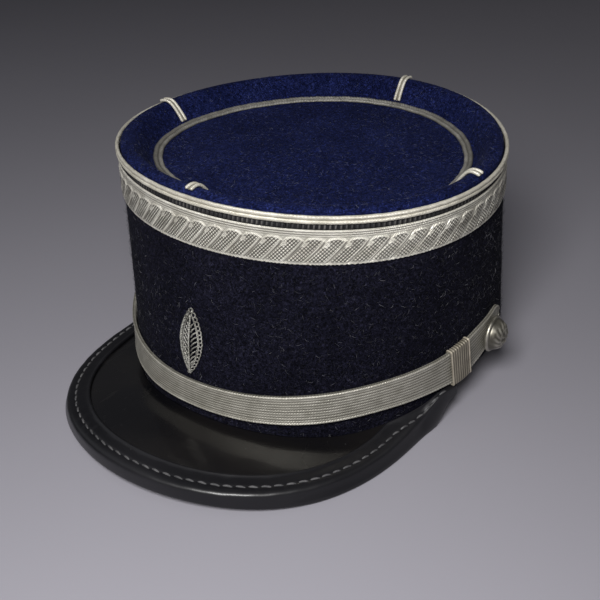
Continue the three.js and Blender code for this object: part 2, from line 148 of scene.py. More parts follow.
def wall_above(theta, above, out):
    theta, above, out = np.broadcast_arrays(theta, above, out)
    return wall_point(theta, wall_length(theta) - above, out)


def rim_lift(theta):
    return column(RIM_ROWS, from_front(theta), "theta", "lift")


def strap_edge(theta, name):
    return column(STRAP_ROWS, from_front(theta), "theta", name)


def crown_point(theta, inset, height):
    theta, inset, height = np.broadcast_arrays(theta, inset, height)
    outside = oval_point(TOP_OVAL, theta, np.minimum(inset, CROWN_SPLIT), height)
    middle = oval_point(dict(TOP_OVAL, half_length=0.0, half_width=0.0), 0 * theta, 0.0, height)
    share = np.clip((CROWN_RADIUS - inset) / (CROWN_RADIUS - CROWN_SPLIT), 0, 1)[..., None]
    return middle * (1 - share) + outside * share


def smooth_line(points, steps):
    """Centripetal Catmull-Rom line through points, steps to each span: the points and the directions along it."""
    p = np.array(points, float)
    p = np.vstack([2 * p[0] - p[1], p, 2 * p[-1] - p[-2]])
    out, way = [], []
    for i in range(len(p) - 3):
        a, b, c, d = p[i : i + 4]
        d0, d1, d2 = (max(np.linalg.norm(v) ** 0.5, 1e-4) for v in (b - a, c - b, d - c))
        t1 = ((b - a) / d0 - (c - a) / (d0 + d1) + (c - b) / d1) * d1
        t2 = ((c - b) / d1 - (d - b) / (d1 + d2) + (d - c) / d2) * d1
        t = np.linspace(0, 1, steps, endpoint=i == len(p) - 4)[:, None]
        c2, c3 = -3 * b + 3 * c - 2 * t1 - t2, 2 * b - 2 * c + t1 + t2
        out.append(b + t1 * t + c2 * t**2 + c3 * t**3)
        way.append(t1 + 2 * c2 * t + 3 * c3 * t**2)
    return np.vstack(out), unit(np.vstack(way))


crown_line, crown_way = smooth_line(np.column_stack([CROWN_ROWS["inset"], CROWN_ROWS["height"]]), 40)


def crown_at(inset, rise):
    """Inset and height of a place rise above the crown's surface."""
    x, y = (np.interp(inset, crown_line[:, 0], crown_line[:, k]) for k in (0, 1))
    wx, wy = (np.interp(inset, crown_line[:, 0], crown_way[:, k]) for k in (0, 1))
    return x - wy * rise, y + wx * rise


def visor_section(part):
    part = np.asarray(part, float)
    polar, theta, e = math.radians(VISOR["polar_end"]) * part, math.radians(VISOR["band_end"]) * part, VISOR_EDGE
    radius = e["mean"] + e["second"] * np.cos(2 * polar) + e["fourth"] * np.cos(4 * polar) + e["sixth"] * np.cos(6 * polar)
    x, y = radius * np.sin(polar), e["y"] - radius * np.cos(polar)
    front = e["y"] - (e["mean"] + e["second"] + e["fourth"] + e["sixth"])
    rise = column(CORNER_ROWS, from_front(theta), "theta", "rise")
    edge = vec(x, y, e["front"] + e["back"] * (y - front) + e["arch"] * (x / 80) ** 2 + rise)
    root_z = column(VISOR_ROOT_ROWS, from_front(theta), "theta", "z")
    root = wall_above(theta, (root_z - oval_point(BASE_OVAL, theta)[..., 2]) / 0.995, VISOR["clear"])
    root[..., 2] = root_z
    n = wall_normal(theta, 90 + 0 * theta)
    out = (edge[..., 0] - root[..., 0]) * n[..., 0] + (edge[..., 1] - root[..., 1]) * n[..., 1]
    wider = (VISOR["least"] - out + np.hypot(out - VISOR["least"], VISOR["soft"])) / 2
    edge = edge + n * wider[..., None]
    flat = (root - edge) * [1, 1, 0]
    return edge, root, np.linalg.norm(flat, axis=-1), unit(flat)


def visor_point(part, inset, drop):
    part, inset, drop = np.broadcast_arrays(np.asarray(part, float), inset, drop)
    edge, root, width, inwards = visor_section(part)
    t = np.clip(inset / width, 0, 1)
    p = edge + inwards * inset[..., None]
    swell = VISOR["crown"] * np.minimum(1, width / VISOR["full_width"]) ** 2
    p[..., 2] = np.maximum(edge[..., 2] * (1 - t) + root[..., 2] * t + swell * np.sin(np.pi * t) - drop, 0)
    return p


def binding_scale(part):
    return np.minimum(1, (visor_section(part)[2] - 0.5) / BINDING_WIDTH)


def even_round(count, down=40.0):
    """Angles at even arc lengths round the wall, with the arc length to each, and the whole length."""
    fine = np.linspace(-np.pi, np.pi, 4001)
    p = on_wall(fine, down + 0 * fine)
    s = np.concatenate([[0], np.cumsum(np.linalg.norm(np.diff(p, axis=0), axis=1))])
    at = np.linspace(0, s[-1], count, endpoint=False)
    return np.interp(at, s, fine), at, s[-1]


def arc_to(theta, down=40.0):
    """Arc length along the wall from the front to theta."""
    fine = np.linspace(-np.pi, np.pi, 4001)
    p = on_wall(fine, down + 0 * fine)
    s = np.concatenate([[0], np.cumsum(np.linalg.norm(np.diff(p, axis=0), axis=1))])
    return np.interp(theta, fine, s) - np.interp(0, fine, s)


def waves(shape_terms, *coords):
    """A smooth uneven field: a sum of a few waves with their own phases."""
    total = 0
    for amount, *rates in shape_terms:
        phase = rng.uniform(0, 2 * np.pi, len(rates))
        term = amount
        for rate, coord, ph in zip(rates, coords, phase):
            term = term * np.sin(rate * coord + ph)
        total = total + term
    return total


# ---- Mesh making --------------------------------------------------------------------------------------------
def placed(points):
    return (np.asarray(points, float).reshape(-1, 3) - [0, CENTRE_Y, 0]) / 1000


def finish_mesh(name, points, faces, uv=None, values=None, smooth=True):
    """A mesh object from points in mm, with a uv in mm for each face corner and named values at the points."""
    co = placed(points)
    corners = np.concatenate([np.asarray(f).ravel() for f in faces])
    volume = 0.0
    for block in faces:
        block = np.asarray(block)
        for k in range(1, block.shape[1] - 1):
            a, b, c = co[block[:, 0]], co[block[:, k]], co[block[:, k + 1]]
            volume += np.einsum("ij,ij->i", a, np.cross(b, c)).sum()
    if volume < 0:
        faces = [np.asarray(f)[:, ::-1] for f in faces]
        corners = np.concatenate([f.ravel() for f in faces])
        if uv is not None:
            uv = [u[:, ::-1] for u in uv]
    sizes = np.concatenate([np.full(len(f), np.asarray(f).shape[1]) for f in faces])
    mesh = bpy.data.meshes.new(name)
    mesh.vertices.add(len(co))
    mesh.vertices.foreach_set("co", co.astype(np.float32).ravel())
    mesh.loops.add(len(corners))
    mesh.loops.foreach_set("vertex_index", corners.astype(np.int32))
    mesh.polygons.add(len(sizes))
    mesh.polygons.foreach_set("loop_start", np.concatenate([[0], np.cumsum(sizes)[:-1]]).astype(np.int32))
    if uv is not None:
        layer = mesh.uv_layers.new(name="UVMap")
        layer.data.foreach_set("uv", np.concatenate([u.reshape(-1, 2) for u in uv]).astype(np.float32).ravel())
    mesh.update(calc_edges=True)
    mesh.validate()
    for key, value in (values or {}).items():
        attribute = mesh.attributes.new(key, "FLOAT", "POINT")
        attribute.data.foreach_set("value", np.asarray(value, np.float32).ravel())
    if smooth:
        mesh.polygons.foreach_set("use_smooth", np.ones(len(sizes), bool))
    obj = bpy.data.objects.new(name, mesh)
    bpy.context.scene.collection.objects.link(obj)
    return obj


def lofted(name, P, along, across, ring=False, values=None):
    """A closed solid from sections: P[i, j] is point j of section i. A section closes on itself, and the sections
    close into a ring or are capped. along and across are the uv in mm, one more than the points where they close."""
    nu, nv = P.shape[:2]
    iu = np.arange(nu if ring else nu - 1)
    jv = np.arange(nv)
    I, J = np.meshgrid(iu, jv, indexing="ij")
    I2, J2 = (I + 1) % nu, (J + 1) % nv
    quads = np.stack([I * nv + J, I2 * nv + J, I2 * nv + J2, I * nv + J2], -1).reshape(-1, 4)
    A, C = np.asarray(along, float), np.asarray(across, float)
    uv = np.stack(
        [np.stack([A[I], C[J]], -1), np.stack([A[I + 1], C[J]], -1), np.stack([A[I + 1], C[J + 1]], -1), np.stack([A[I], C[J + 1]], -1)], 2
    ).reshape(-1, 4, 2)
    faces, uvs, points = [quads], [uv], [P.reshape(-1, 3)]
    if values:
        values = {k: np.asarray(v).reshape(-1) for k, v in values.items()}
    if not ring:
        for end, row in ((0, P[0]), (nu - 1, P[-1])):
            middle = sum(len(p) for p in points)
            points.append(row.mean(0)[None])
            a, b = end * nv + jv, end * nv + (jv + 1) % nv
            tri = np.stack([np.full(nv, middle), a, b], -1)
            faces.append(tri if end == 0 else tri[:, ::-1])
            uvs.append(np.tile([[A[end], 0.0]], (nv, 3, 1)))
            if values:
                values = {k: np.append(v, v[end * nv : end * nv + nv].mean()) for k, v in values.items()}
    return finish_mesh(name, np.vstack(points), faces, uvs, values)


def tube_points(line, radius, around, normal=None, twist=None, lobes=3, depth=0.0, flat=1.0):
    """Sections of a round or stranded cord along a line: P[i, j]. twist is its turn at each point, in radians."""
    line = np.asarray(line, float)
    way = unit(np.gradient(line, axis=0))
    if normal is None:
        normal = np.tile([0.0, 0.0, 1.0], (len(line), 1))
    side = unit(np.cross(way, normal))
    up = unit(np.cross(side, way))
    phi = np.linspace(0, 2 * np.pi, around, endpoint=False)[None, :]
    turn = 0 if twist is None else np.asarray(twist)[:, None]
    r = np.broadcast_to(np.asarray(radius, float).reshape(-1, 1), (len(line), 1))
    shape = 1 - depth + depth * np.abs(np.cos(lobes / 2 * (phi - turn)))
    return line[:, None] + (r * shape * np.cos(phi))[..., None] * side[:, None] + (r * shape * flat * np.sin(phi))[..., None] * up[:, None]


def joined(name, parts, values=None):
    """One mesh of many closed pieces, each given as (points, quads or triangles blocks, values)."""
    points, faces, uvs, extra, base = [], {}, {}, {}, 0
    for P, blocks, uv_blocks, vals in parts:
        points.append(np.asarray(P).reshape(-1, 3))
        for f, u in zip(blocks, uv_blocks):
            faces.setdefault(f.shape[1], []).append(f + base)
            uvs.setdefault(f.shape[1], []).append(u)
        for k, v in (vals or {}).items():
            extra.setdefault(k, []).append(np.asarray(v, float).ravel())
        base += len(points[-1])
    keys = sorted(faces)
    return finish_mesh(
        name,
        np.vstack(points),
        [np.vstack(faces[k]) for k in keys],
        [np.concatenate(uvs[k]) for k in keys],
        {k: np.concatenate(v) for k, v in extra.items()},
    )


def tube_part(P, along, tone=None, flip=None):
    """The blocks of one capped tube for joined()."""
    nu, nv = P.shape[:2]
    I, J = np.meshgrid(np.arange(nu - 1), np.arange(nv), indexing="ij")
    J2 = (J + 1) % nv
    quads = np.stack([I * nv + J, (I + 1) * nv + J, (I + 1) * nv + J2, I * nv + J2], -1).reshape(-1, 4)
    A, C = np.asarray(along, float), np.linspace(0, 1, nv + 1)
    uv = np.stack(
        [np.stack([A[I], C[J]], -1), np.stack([A[I + 1], C[J]], -1), np.stack([A[I + 1], C[J + 1]], -1), np.stack([A[I], C[J + 1]], -1)], 2
    ).reshape(-1, 4, 2)
    n = nu * nv
    j = np.arange(nv)
    low = np.stack([np.full(nv, n), j, (j + 1) % nv], -1)
    high = np.stack([np.full(nv, n + 1), (nu - 1) * nv + (j + 1) % nv, (nu - 1) * nv + j], -1)
    tris = np.vstack([low, high])
    points = np.vstack([P.reshape(-1, 3), P[0].mean(0), P[-1].mean(0)])
    # each tube faces out by itself
    vol = 0.0
    for block in (quads, tris):
        for k in range(1, block.shape[1] - 1):
            a, b, c = points[block[:, 0]], points[block[:, k]], points[block[:, k + 1]]
            centre = points.mean(0)
            vol += np.einsum("ij,ij->i", a - centre, np.cross(b - centre, c - centre)).sum()
    tri_uv = np.zeros((len(tris), 3, 2))
    if vol < 0:
        quads, tris, uv = quads[:, ::-1], tris[:, ::-1], uv[:, ::-1]
    values = {} if tone is None else {k: np.full(len(points), v) for k, v in tone.items()}
    return points, [quads, tris], [uv, tri_uv], values


def fibres(name, roots, normals, count_seed, length, lift, thick, tones):
    """Short loose fibres of a felt surface: tapered three-sided hairs that lie along it and stand a little off it."""
    n = len(roots)
    gen = np.random.default_rng(count_seed)
    any_way = unit(gen.normal(size=(n, 3)))
    way = unit(any_way - dot(any_way, normals) * normals)
    side = np.cross(normals, way)
    L = gen.uniform(*length, n)[:, None]
    H = gen.uniform(*lift, n)[:, None] * L
    bend = gen.normal(0, 0.35, n)[:, None] * L
    mid = roots + way * L * 0.5 + normals * H + side * bend * 0.35
    tip = roots + way * L + normals * H * gen.uniform(0.3, 1.3, n)[:, None] + side * bend
    w = gen.uniform(*thick, n)[:, None]
    ring = []
    for k in range(3):
        a = 2 * np.pi * k / 3
        ring.append(side * math.cos(a) + normals * math.sin(a))
    base = [roots - normals * 0.05 + r * w for r in ring]
    centre = [mid + r * w * 0.8 for r in ring]
    P = np.stack(base + centre + [tip], 1)  # n, 7, 3
    P[..., 2] = np.maximum(P[..., 2], 0.02)
    o = (np.arange(n) * 7)[:, None]
    quads, tris = [], [np.array([0, 2, 1])]
    for k in range(3):
        k2 = (k + 1) % 3
        quads.append(np.array([k, k2, k2 + 3, k + 3]))
        tris.append(np.array([k + 3, k2 + 3, 6]))
    Q = np.concatenate([q[None] + o for q in quads])
    T = np.concatenate([t[None] + o for t in tris])
    tone = np.repeat(gen.choice(tones[0], n, p=tones[1]), 7)
    return finish_mesh(name, P.reshape(-1, 3), [T, Q], None, {"tone": tone})


# ---- Materials ----------------------------------------------------------------------------------------------
class Paint:
    """A node material: a principled shader with its fixed numbers on its own sockets, and helpers for the rest."""

    def __init__(self, name, **fixed):
        self.material = bpy.data.materials.new(name)
        self.material.use_nodes = True
        self.tree = self.material.node_tree
        self.tree.nodes.clear()
        self.out = self.tree.nodes.new("ShaderNodeOutputMaterial")
        self.shader = self.tree.nodes.new("ShaderNodeBsdfPrincipled")
        self.tree.links.new(self.shader.outputs[0], self.out.inputs[0])
        for key, value in fixed.items():
            self.shader.inputs[key.replace("_", " ")].default_value = value
        self.coords = self.tree.nodes.new("ShaderNodeTexCoord")

    def node(self, kind, inputs=None, **settings):
        n = self.tree.nodes.new(kind)
        for key, value in settings.items():
            setattr(n, key, value)
        for key, value in (inputs or {}).items():
            self.put(n.inputs[key], value)
        return n

    def put(self, socket, value):
        if isinstance(value, bpy.types.NodeSocket):
            self.tree.links.new(value, socket)
        else:
            socket.default_value = value

    def mapped(self, source="Object", scale=(1, 1, 1), turn=0.0, shift=(0, 0, 0)):
        m = self.node("ShaderNodeMapping", {"Vector": self.coords.outputs[source]})
        m.inputs["Scale"].default_value = scale
        m.inputs["Rotation"].default_value = (0, 0, turn)
        m.inputs["Location"].default_value = shift
        return m.outputs[0]

    def noise(self, scale, detail=3.0, rough=0.55, source="Object", stretch=(1, 1, 1), distortion=0.0):
        return self.node(
            "ShaderNodeTexNoise",
            {"Vector": self.mapped(source, stretch), "Scale": scale, "Detail": detail, "Roughness": rough, "Distortion": distortion},
        ).outputs["Fac"]

    def ramp(self, value, *stops):
        """Colour by value; stops are (place, colour) with colours of 3 numbers or one grey."""
        r = self.node("ShaderNodeValToRGB", {"Fac": value})
        while len(r.color_ramp.elements) < len(stops):
            r.color_ramp.elements.new(0.5)
        for e, (place, colour) in zip(r.color_ramp.elements, stops):
            e.position = place
            e.color = (*colour, 1) if hasattr(colour, "__len__") else (colour, colour, colour, 1)
        return r.outputs["Color"]

    def mix(self, fac, a, b, kind="MIX"):
        m = self.node("ShaderNodeMix", data_type="RGBA", blend_type=kind)
        for socket, value in ((m.inputs[0], fac), (m.inputs[6], a), (m.inputs[7], b)):
            if isinstance(value, tuple) and len(value) == 3:
                value = (*value, 1)
            self.put(socket, value)
        return m.outputs[2]

    def math(self, kind, a, b=0.0, c=0.0, clamp=False):
        m = self.node("ShaderNodeMath", operation=kind, use_clamp=clamp)
        for socket, value in zip(m.inputs, (a, b, c)):
            self.put(socket, value)
        return m.outputs[0]

    def value(self, name):
        return self.node("ShaderNodeAttribute", attribute_name=name).outputs["Fac"]

    def bands(self, period, turn=0.0, source="UV", distortion=0.0, shape="SIN"):
        """Waves of a period in the source's own unit, turned in its plane."""
        return self.node(
            "ShaderNodeTexWave",
            {"Vector": self.mapped(source, turn=turn), "Scale": math.pi / 10 / period, "Distortion": distortion, "Detail": 1.0, "Detail Scale": 2.0},
            wave_type="BANDS",
            bands_direction="X",
            wave_profile=shape,
        ).outputs["Fac"]

    def bump(self, *layers):
        """Bumps one over the other: (height socket, strength, distance in mm)."""
        last = None
        for height, strength, distance in layers:
            b = self.node("ShaderNodeBump", {"Height": height, "Strength": strength, "Distance": distance / 1000})
            if last is not None:
                self.put(b.inputs["Normal"], last)
            last = b.outputs["Normal"]
        self.put(self.shader.inputs["Normal"], last)

    def set(self, **sockets):
        for key, value in sockets.items():
            self.put(self.shader.inputs[key.replace("_", " ")], value)


def felt(name, deep, middle, light, sheen, sheen_tint, fleck):
    """Pressed wool: a mottled nap with small directions in it, a few pale flecks, and soft sheen."""
    m = Paint(name, Specular_IOR_Level=0.04, Sheen_Weight=sheen, Sheen_Roughness=0.45, Sheen_Tint=(*sheen_tint, 1))
    cloud = m.noise(38.0, 4.0, 0.6)
    nap = m.noise(420.0, 5.0, 0.7, distortion=1.2)
    fine = m.noise(1900.0, 3.0, 0.75, distortion=2.5)
    base = m.ramp(m.math("ADD", m.math("MULTIPLY", cloud, 0.35), m.math("MULTIPLY", nap, 0.65)), (0.33, deep), (0.52, middle), (0.72, light))
    wool = m.noise(1050.0, 2.0, 0.6, distortion=1.5)
    grain = m.mix(1.0, m.ramp(fine, (0.34, 0.45), (0.66, 1.15)), m.ramp(wool, (0.36, 0.30), (0.50, 0.85), (0.60, 1.7), (0.70, 3.4)), "MULTIPLY")
    specks = m.ramp(m.noise(760.0, 1.0, 0.5, distortion=3.0), (0.745, 0.0), (0.80, 1.0))
    colour = m.mix(1.0, base, grain, "MULTIPLY")
    m.set(Base_Color=m.mix(m.math("MULTIPLY", specks, 0.5), colour, fleck), Roughness=m.ramp(nap, (0.3, 0.86), (0.7, 1.0)))
    m.bump((m.noise(260.0, 3.0, 0.6), 0.5, 0.5), (nap, 0.6, 0.35), (fine, 0.7, 0.18))
    return m.material


def silver(name, bright, dull, shade, thread, turn, rough=0.42, metallic=0.35, strength=0.5, beads=0.0):
    """Metal thread: fine slanting threads with painted shade between them, more painted shade where the mesh's
    darkening value says, a little tarnish, uneven in tone.
    """
    m = Paint(name, Metallic=metallic, Specular_IOR_Level=0.5)
    threads = m.bands(thread, turn, distortion=0.6)
    cross = m.bands(thread * 1.6, turn + math.pi / 2, distortion=1.0)
    tone = m.noise(160.0, 4.0, 0.65)
    tarnish = m.noise(28.0, 3.0, 0.6)
    base = m.mix(m.ramp(tone, (0.34, 0.0), (0.66, 1.0)), dull, bright)
    # painted shade in the gaps between the threads
    base = m.mix(m.ramp(threads, (0.05, 0.55), (0.45, 0.0)), base, shade)
    base = m.mix(m.math("MULTIPLY", m.ramp(tarnish, (0.5, 0.0), (0.75, 1.0)), 0.35), base, shade)
    layers = [(m.noise(900.0, 2.0, 0.6), 0.35, 0.12), (cross, strength * 0.6, 0.14), (threads, strength, 0.2)]
    if beads:
        rows = m.bands(beads, turn, distortion=0.35)
        lines = m.bands(beads * 1.03, turn + math.radians(90), distortion=0.5)
        bead = m.math("MULTIPLY", rows, m.math("ADD", m.math("MULTIPLY", lines, 0.9), 0.1))
        where = m.value("beaded")
        # painted shade in the gaps between the beads
        base = m.mix(m.math("MULTIPLY", m.ramp(bead, (0.06, 0.97), (0.50, 0.0)), where), base, shade)
        layers.append((m.math("MULTIPLY", bead, where), 0.8, 0.35))
    # painted shade from the mesh's darkening value, in its grooves and gaps
    base = m.mix(m.math("MULTIPLY", m.value("shade_and_patina"), 0.95, clamp=True), base, shade)
    m.set(Base_Color=base, Roughness=m.ramp(tone, (0.3, rough - 0.08), (0.7, rough + 0.14)))
    m.bump(*layers)
    return m.material


LACE_PAINT = silver("silver_lace", (0.90, 0.875, 0.795), (0.68, 0.65, 0.565), (0.060, 0.056, 0.046), 0.55, math.radians(-42), 0.36, 0.25, 0.6, 1.08)
CORD_PAINT = silver("silver_cord", (0.82, 0.79, 0.70), (0.62, 0.59, 0.50), (0.16, 0.145, 0.105), 0.5, math.radians(35), 0.34, 0.3, 0.45)
RING_PAINT = silver("silver_soutache", (0.42, 0.405, 0.37), (0.26, 0.25, 0.22), (0.07, 0.066, 0.056), 0.55, math.radians(50), 0.42, 0.35, 0.5)
STRAP_PAINT = silver("silver_strap", (0.70, 0.675, 0.60), (0.50, 0.48, 0.415), (0.060, 0.056, 0.043), 0.55, math.radians(62), 0.40, 0.4, 0.45)
LOOP_PAINT = silver("silver_loop", (0.54, 0.49, 0.40), (0.38, 0.34, 0.265), (0.050, 0.044, 0.032), 0.6, math.radians(90), 0.45, 0.35, 0.3)
BADGE_PAINT = silver("metal_purl", (0.74, 0.73, 0.68), (0.40, 0.39, 0.35), (0.04, 0.038, 0.032), 0.35, 0.0, 0.30, 0.6, 0.5)
BAND_FELT = felt("band_wool", (0.0022, 0.0022, 0.0048), (0.0062, 0.0062, 0.0125), (0.0150, 0.0150, 0.0270), 0.015, (0.30, 0.31, 0.38), (0.05, 0.05, 0.058))
CROWN_FELT_PAINT = felt("crown_wool", (0.0024, 0.0038, 0.0210), (0.0070, 0.0105, 0.0500), (0.0170, 0.0240, 0.0950), 0.02, (0.24, 0.27, 0.46), (0.06, 0.06, 0.10))


def fibre_paint(name, dark, light, pale):
    m = Paint(name, Specular_IOR_Level=0.15, Roughness=0.85, Sheen_Weight=0.08, Sheen_Roughness=0.5)
    base = m.ramp(m.value("tone"), (0.0, dark), (0.5, light), (1.0, pale))
    m.set(Base_Color=m.mix(m.ramp(m.noise(500.0, 2.0), (0.35, 0.0), (0.65, 0.5)), base, dark))
    return m.material


BAND_FIBRE = fibre_paint("band_fibre", (0.006, 0.006, 0.011), (0.026, 0.026, 0.042), (0.24, 0.24, 0.27))
CROWN_FIBRE = fibre_paint("crown_fibre", (0.008, 0.011, 0.042), (0.032, 0.040, 0.120), (0.24, 0.26, 0.36))


def ribbed_black(name):
    """Black grosgrain: silky ribs with fine threads round them, and a painted highlight along each rib's crest."""
    m = Paint(name, Specular_IOR_Level=0.25)
    threads = m.bands(0.28, math.pi / 2, distortion=0.5)
    tone = m.noise(300.0, 3.0)
    crest = m.value("shade_and_patina")
    base = m.mix(m.ramp(tone, (0.35, 0.0), (0.65, 1.0)), (0.003, 0.003, 0.004), (0.008, 0.008, 0.010))
    # painted highlight: light grey on the rib crests, where the mesh's darkening value is low
    base = m.mix(crest, (0.11, 0.105, 0.10), base)
    m.set(Base_Color=base, Roughness=m.ramp(tone, (0.3, 0.42), (0.7, 0.62)))
    m.bump((threads, 0.5, 0.1), (m.noise(1400.0, 2.0), 0.3, 0.08))
    return m.material


def leather(name, base_dark, base_light, dust, haze, rough, grain, glossy):
    """Black polished leather: faint grain and long soft waves, lighter brownish patches that are partly dust and partly
    painted sheen, a haze of fine dust and small scuffs.
    """
    m = Paint(name, Specular_IOR_Level=0.5, Coat_Weight=glossy, Coat_Roughness=0.12)
    wide = m.noise(14.0, 3.0, 0.5)
    pores = m.node("ShaderNodeTexVoronoi", {"Vector": m.mapped(), "Scale": grain}, feature="F1").outputs["Distance"]
    fine = m.noise(900.0, 3.0, 0.6)
    # lighter brownish patches, a little rougher: partly dust, partly a painted sheen standing in for a soft reflection
    dust_and_sheen = m.ramp(wide, (0.38, 0.0), (0.68, 1.0))
    base = m.mix(dust_and_sheen, base_dark, base_light)
    scuffs = m.ramp(m.noise(130.0, 6.0, 0.75, stretch=(1, 0.22, 1), distortion=0.8), (0.60, 0.0), (0.74, 1.0))
    base = m.mix(m.math("MULTIPLY", scuffs, haze), base, dust)
    specks = m.ramp(m.node("ShaderNodeTexVoronoi", {"Vector": m.mapped(), "Scale": 430.0}, feature="F1").outputs["Distance"], (0.035, 1.0), (0.085, 0.0))
    some = m.ramp(m.noise(210.0, 2.0), (0.58, 0.0), (0.64, 1.0))
    base = m.mix(m.math("MULTIPLY", m.math("MULTIPLY", specks, some), 0.6), base, (0.22, 0.22, 0.23))
    rough_map = m.mix(dust_and_sheen, (rough, rough, rough), (rough + 0.1, rough + 0.1, rough + 0.1))
    rough_map = m.mix(m.math("MULTIPLY", scuffs, 0.5), rough_map, (0.55, 0.55, 0.55))
    m.set(Base_Color=base, Roughness=rough_map)
    m.bump((m.noise(55.0, 2.0, 0.5), 0.25, 0.5), (pores, 0.12, 0.12), (fine, 0.08, 0.06))
    return m.material


RIBBON_PAINT = ribbed_black("black_grosgrain")
VISOR_PAINT = leather("visor_leather", (0.0035, 0.0035, 0.0045), (0.0085, 0.0074, 0.0070), (0.045, 0.041, 0.038), 0.20, 0.24, 900.0, 0.5)
BINDING_PAINT = leather("binding_leather", (0.0032, 0.0032, 0.0045), (0.0070, 0.0068, 0.0088), (0.04, 0.04, 0.045), 0.20, 0.36, 1100.0, 0.10)


def plain_thread(name):
    m = Paint(name, Specular_IOR_Level=0.35)
    threads = m.bands(0.45, math.radians(40))
    tone = m.noise(500.0, 2.0)
    base = m.mix(m.ramp(tone, (0.35, 0.0), (0.65, 1.0)), (0.040, 0.040, 0.043), (0.110, 0.108, 0.112))
    # darker between the twisted plies: painted shade
    m.set(Base_Color=m.mix(m.ramp(threads, (0.1, 0.5), (0.5, 0.0)), base, (0.030, 0.030, 0.033)), Roughness=m.ramp(tone, (0.3, 0.5), (0.7, 0.7)))
    m.bump((threads, 0.5, 0.12))
    return m.material


STITCH_PAINT = plain_thread("stitch_thread")


def button_metal(name):
    """Worn silvered metal: bright where it stands proud, dark and dull in its hollows."""
    m = Paint(name, Metallic=0.9, Specular_IOR_Level=0.5)
    tone = m.noise(240.0, 5.0, 0.65)
    low = m.value("shade_and_patina")
    base = m.mix(m.ramp(tone, (0.35, 0.0), (0.7, 1.0)), (0.30, 0.285, 0.235), (0.50, 0.48, 0.42))
    base = m.mix(m.math("MULTIPLY", low, 0.9, clamp=True), base, (0.045, 0.041, 0.030))
    m.set(Base_Color=base, Roughness=m.ramp(tone, (0.3, 0.30), (0.7, 0.50)))
    m.bump((tone, 0.2, 0.15), (m.noise(1500.0, 2.0), 0.15, 0.05))
    return m.material


BUTTON_PAINT = button_metal("button_silver")


def dressed(obj, paint, slot, *nodes):
    """Gives a piece its material and body, and hides the CAD nodes it stands for. slot is not used."""
    obj.data.materials.clear()
    obj.data.materials.append(paint)
    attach(obj, "root")
    if nodes:
        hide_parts(*nodes)
    return obj


# ---- Felt band ------------------------------------------------------------------------------------------------
theta, arc, girth = even_round(420)
rows = np.concatenate([np.linspace(0, 0.93, 40), np.linspace(0.945, 1, 8)])
edge_turn = np.radians(np.array([0, 30, 60, 90, 120, 150, 180]))


def band_section(th):
    """One closed section of the band at each angle: share of the way down, and how far out."""
    length = wall_length(th) - rim_lift(th)
    down_out, out_out, kind = [], [], []
    for r in rows:
        down_out.append(r * (length - 1.25)), out_out.append(0 * length)
    for a in edge_turn[1:]:
        down_out.append(length - 1.25 + 1.25 * np.sin(a)), out_out.append(0 * length - FELT / 2 * (1 - np.cos(a)))
    for r in rows[::-4]:
        down_out.append(r * (length - 1.25)), out_out.append(0 * length - FELT)
    return np.stack(down_out, 1), np.stack(out_out, 1)


down, out = band_section(theta)
TH = np.broadcast_to(theta[:, None], down.shape)
uneven = waves([(0.16, 5, 0.09), (0.10, 11, 0.16), (0.07, 23, 0.27), (0.05, 41, 0.45)], TH, down)
rolled = 0.25 * np.exp(-(((down - (wall_length(theta) - rim_lift(theta))[:, None] + 2.0) / 2.2) ** 2)) * (out > -1)
P = wall_point(TH, down, out + uneven * np.clip(down / 20, 0, 1) * 0.7 - rolled)
P[..., 2] = np.maximum(P[..., 2], 0.0)
across = np.concatenate([down[0], [down[0, -1] + 3]])
band = lofted("felt_band", P, np.append(arc, girth), across, ring=True)
dressed(band, BAND_FELT, "band_felt", "body_band")

n_fuzz = 12000
ft = rng.uniform(-np.pi, np.pi, n_fuzz)
fd = rng.uniform(0, 1, n_fuzz)
flen = wall_length(ft) - rim_lift(ft)
fdown = 17.3 + fd * (flen - 17.3 - 1.0)
roots = wall_point(ft, fdown, 0.0 * ft)
fuzz = fibres("band_fuzz", roots, wall_normal(ft, fdown), 5, (0.9, 3.0), (0.05, 0.40), (0.022, 0.055), ([0.1, 0.45, 0.75, 1.0], [0.42, 0.38, 0.15, 0.05]))
dressed(fuzz, BAND_FIBRE, "band_felt")

# ---- Crown ------------------------------------------------------------------------------------------------------
theta, arc, girth = even_round(400, 0.0)
pick = crown_line[::6]
fine_edge = crown_line[(crown_line[:, 0] < 20)][::6]
floor_rows = np.column_stack([np.linspace(21, 100, 26), crown_at(np.linspace(21, 100, 26), 0.0)[1]])
top_rows = np.vstack([fine_edge, floor_rows])
under = np.column_stack([CROWN_UNDER["inset"], CROWN_UNDER["height"]])
section = np.vstack([top_rows, under[1:]])
TH = np.broadcast_to(theta[:, None], (len(theta), len(section)))
inset = np.broadcast_to(section[None, :, 0], TH.shape)
height = np.broadcast_to(section[None, :, 1], TH.shape)
top_face = np.arange(len(section)) < len(top_rows)
P0 = crown_point(TH, inset, height)
soft = waves([(0.22, 0.035, 0.028), (0.14, 0.075, 0.066), (0.08, 0.15, 0.13), (0.05, 0.33, 0.29)], P0[..., 0], P0[..., 1])
flatness = np.clip((inset - 3) / 20, 0.15, 1) * np.clip((CROWN_RADIUS + 8 - inset) / 30, 0, 1)
P = crown_point(TH, inset, height + np.where(top_face[None], soft * flatness, 0))
across = np.concatenate([[0], np.cumsum(np.linalg.norm(np.diff(section, axis=0), axis=1)), [400]])
crown = lofted("crown_felt", P, np.append(arc, girth), across[: len(section) + 1], ring=True)
melt = bmesh.new()
melt.from_mesh(crown.data)
bmesh.ops.remove_doubles(melt, verts=melt.verts, dist=2e-6)
melt.to_mesh(crown.data)
melt.free()
dressed(crown, CROWN_FELT_PAINT, "crown_felt", "crown_top")

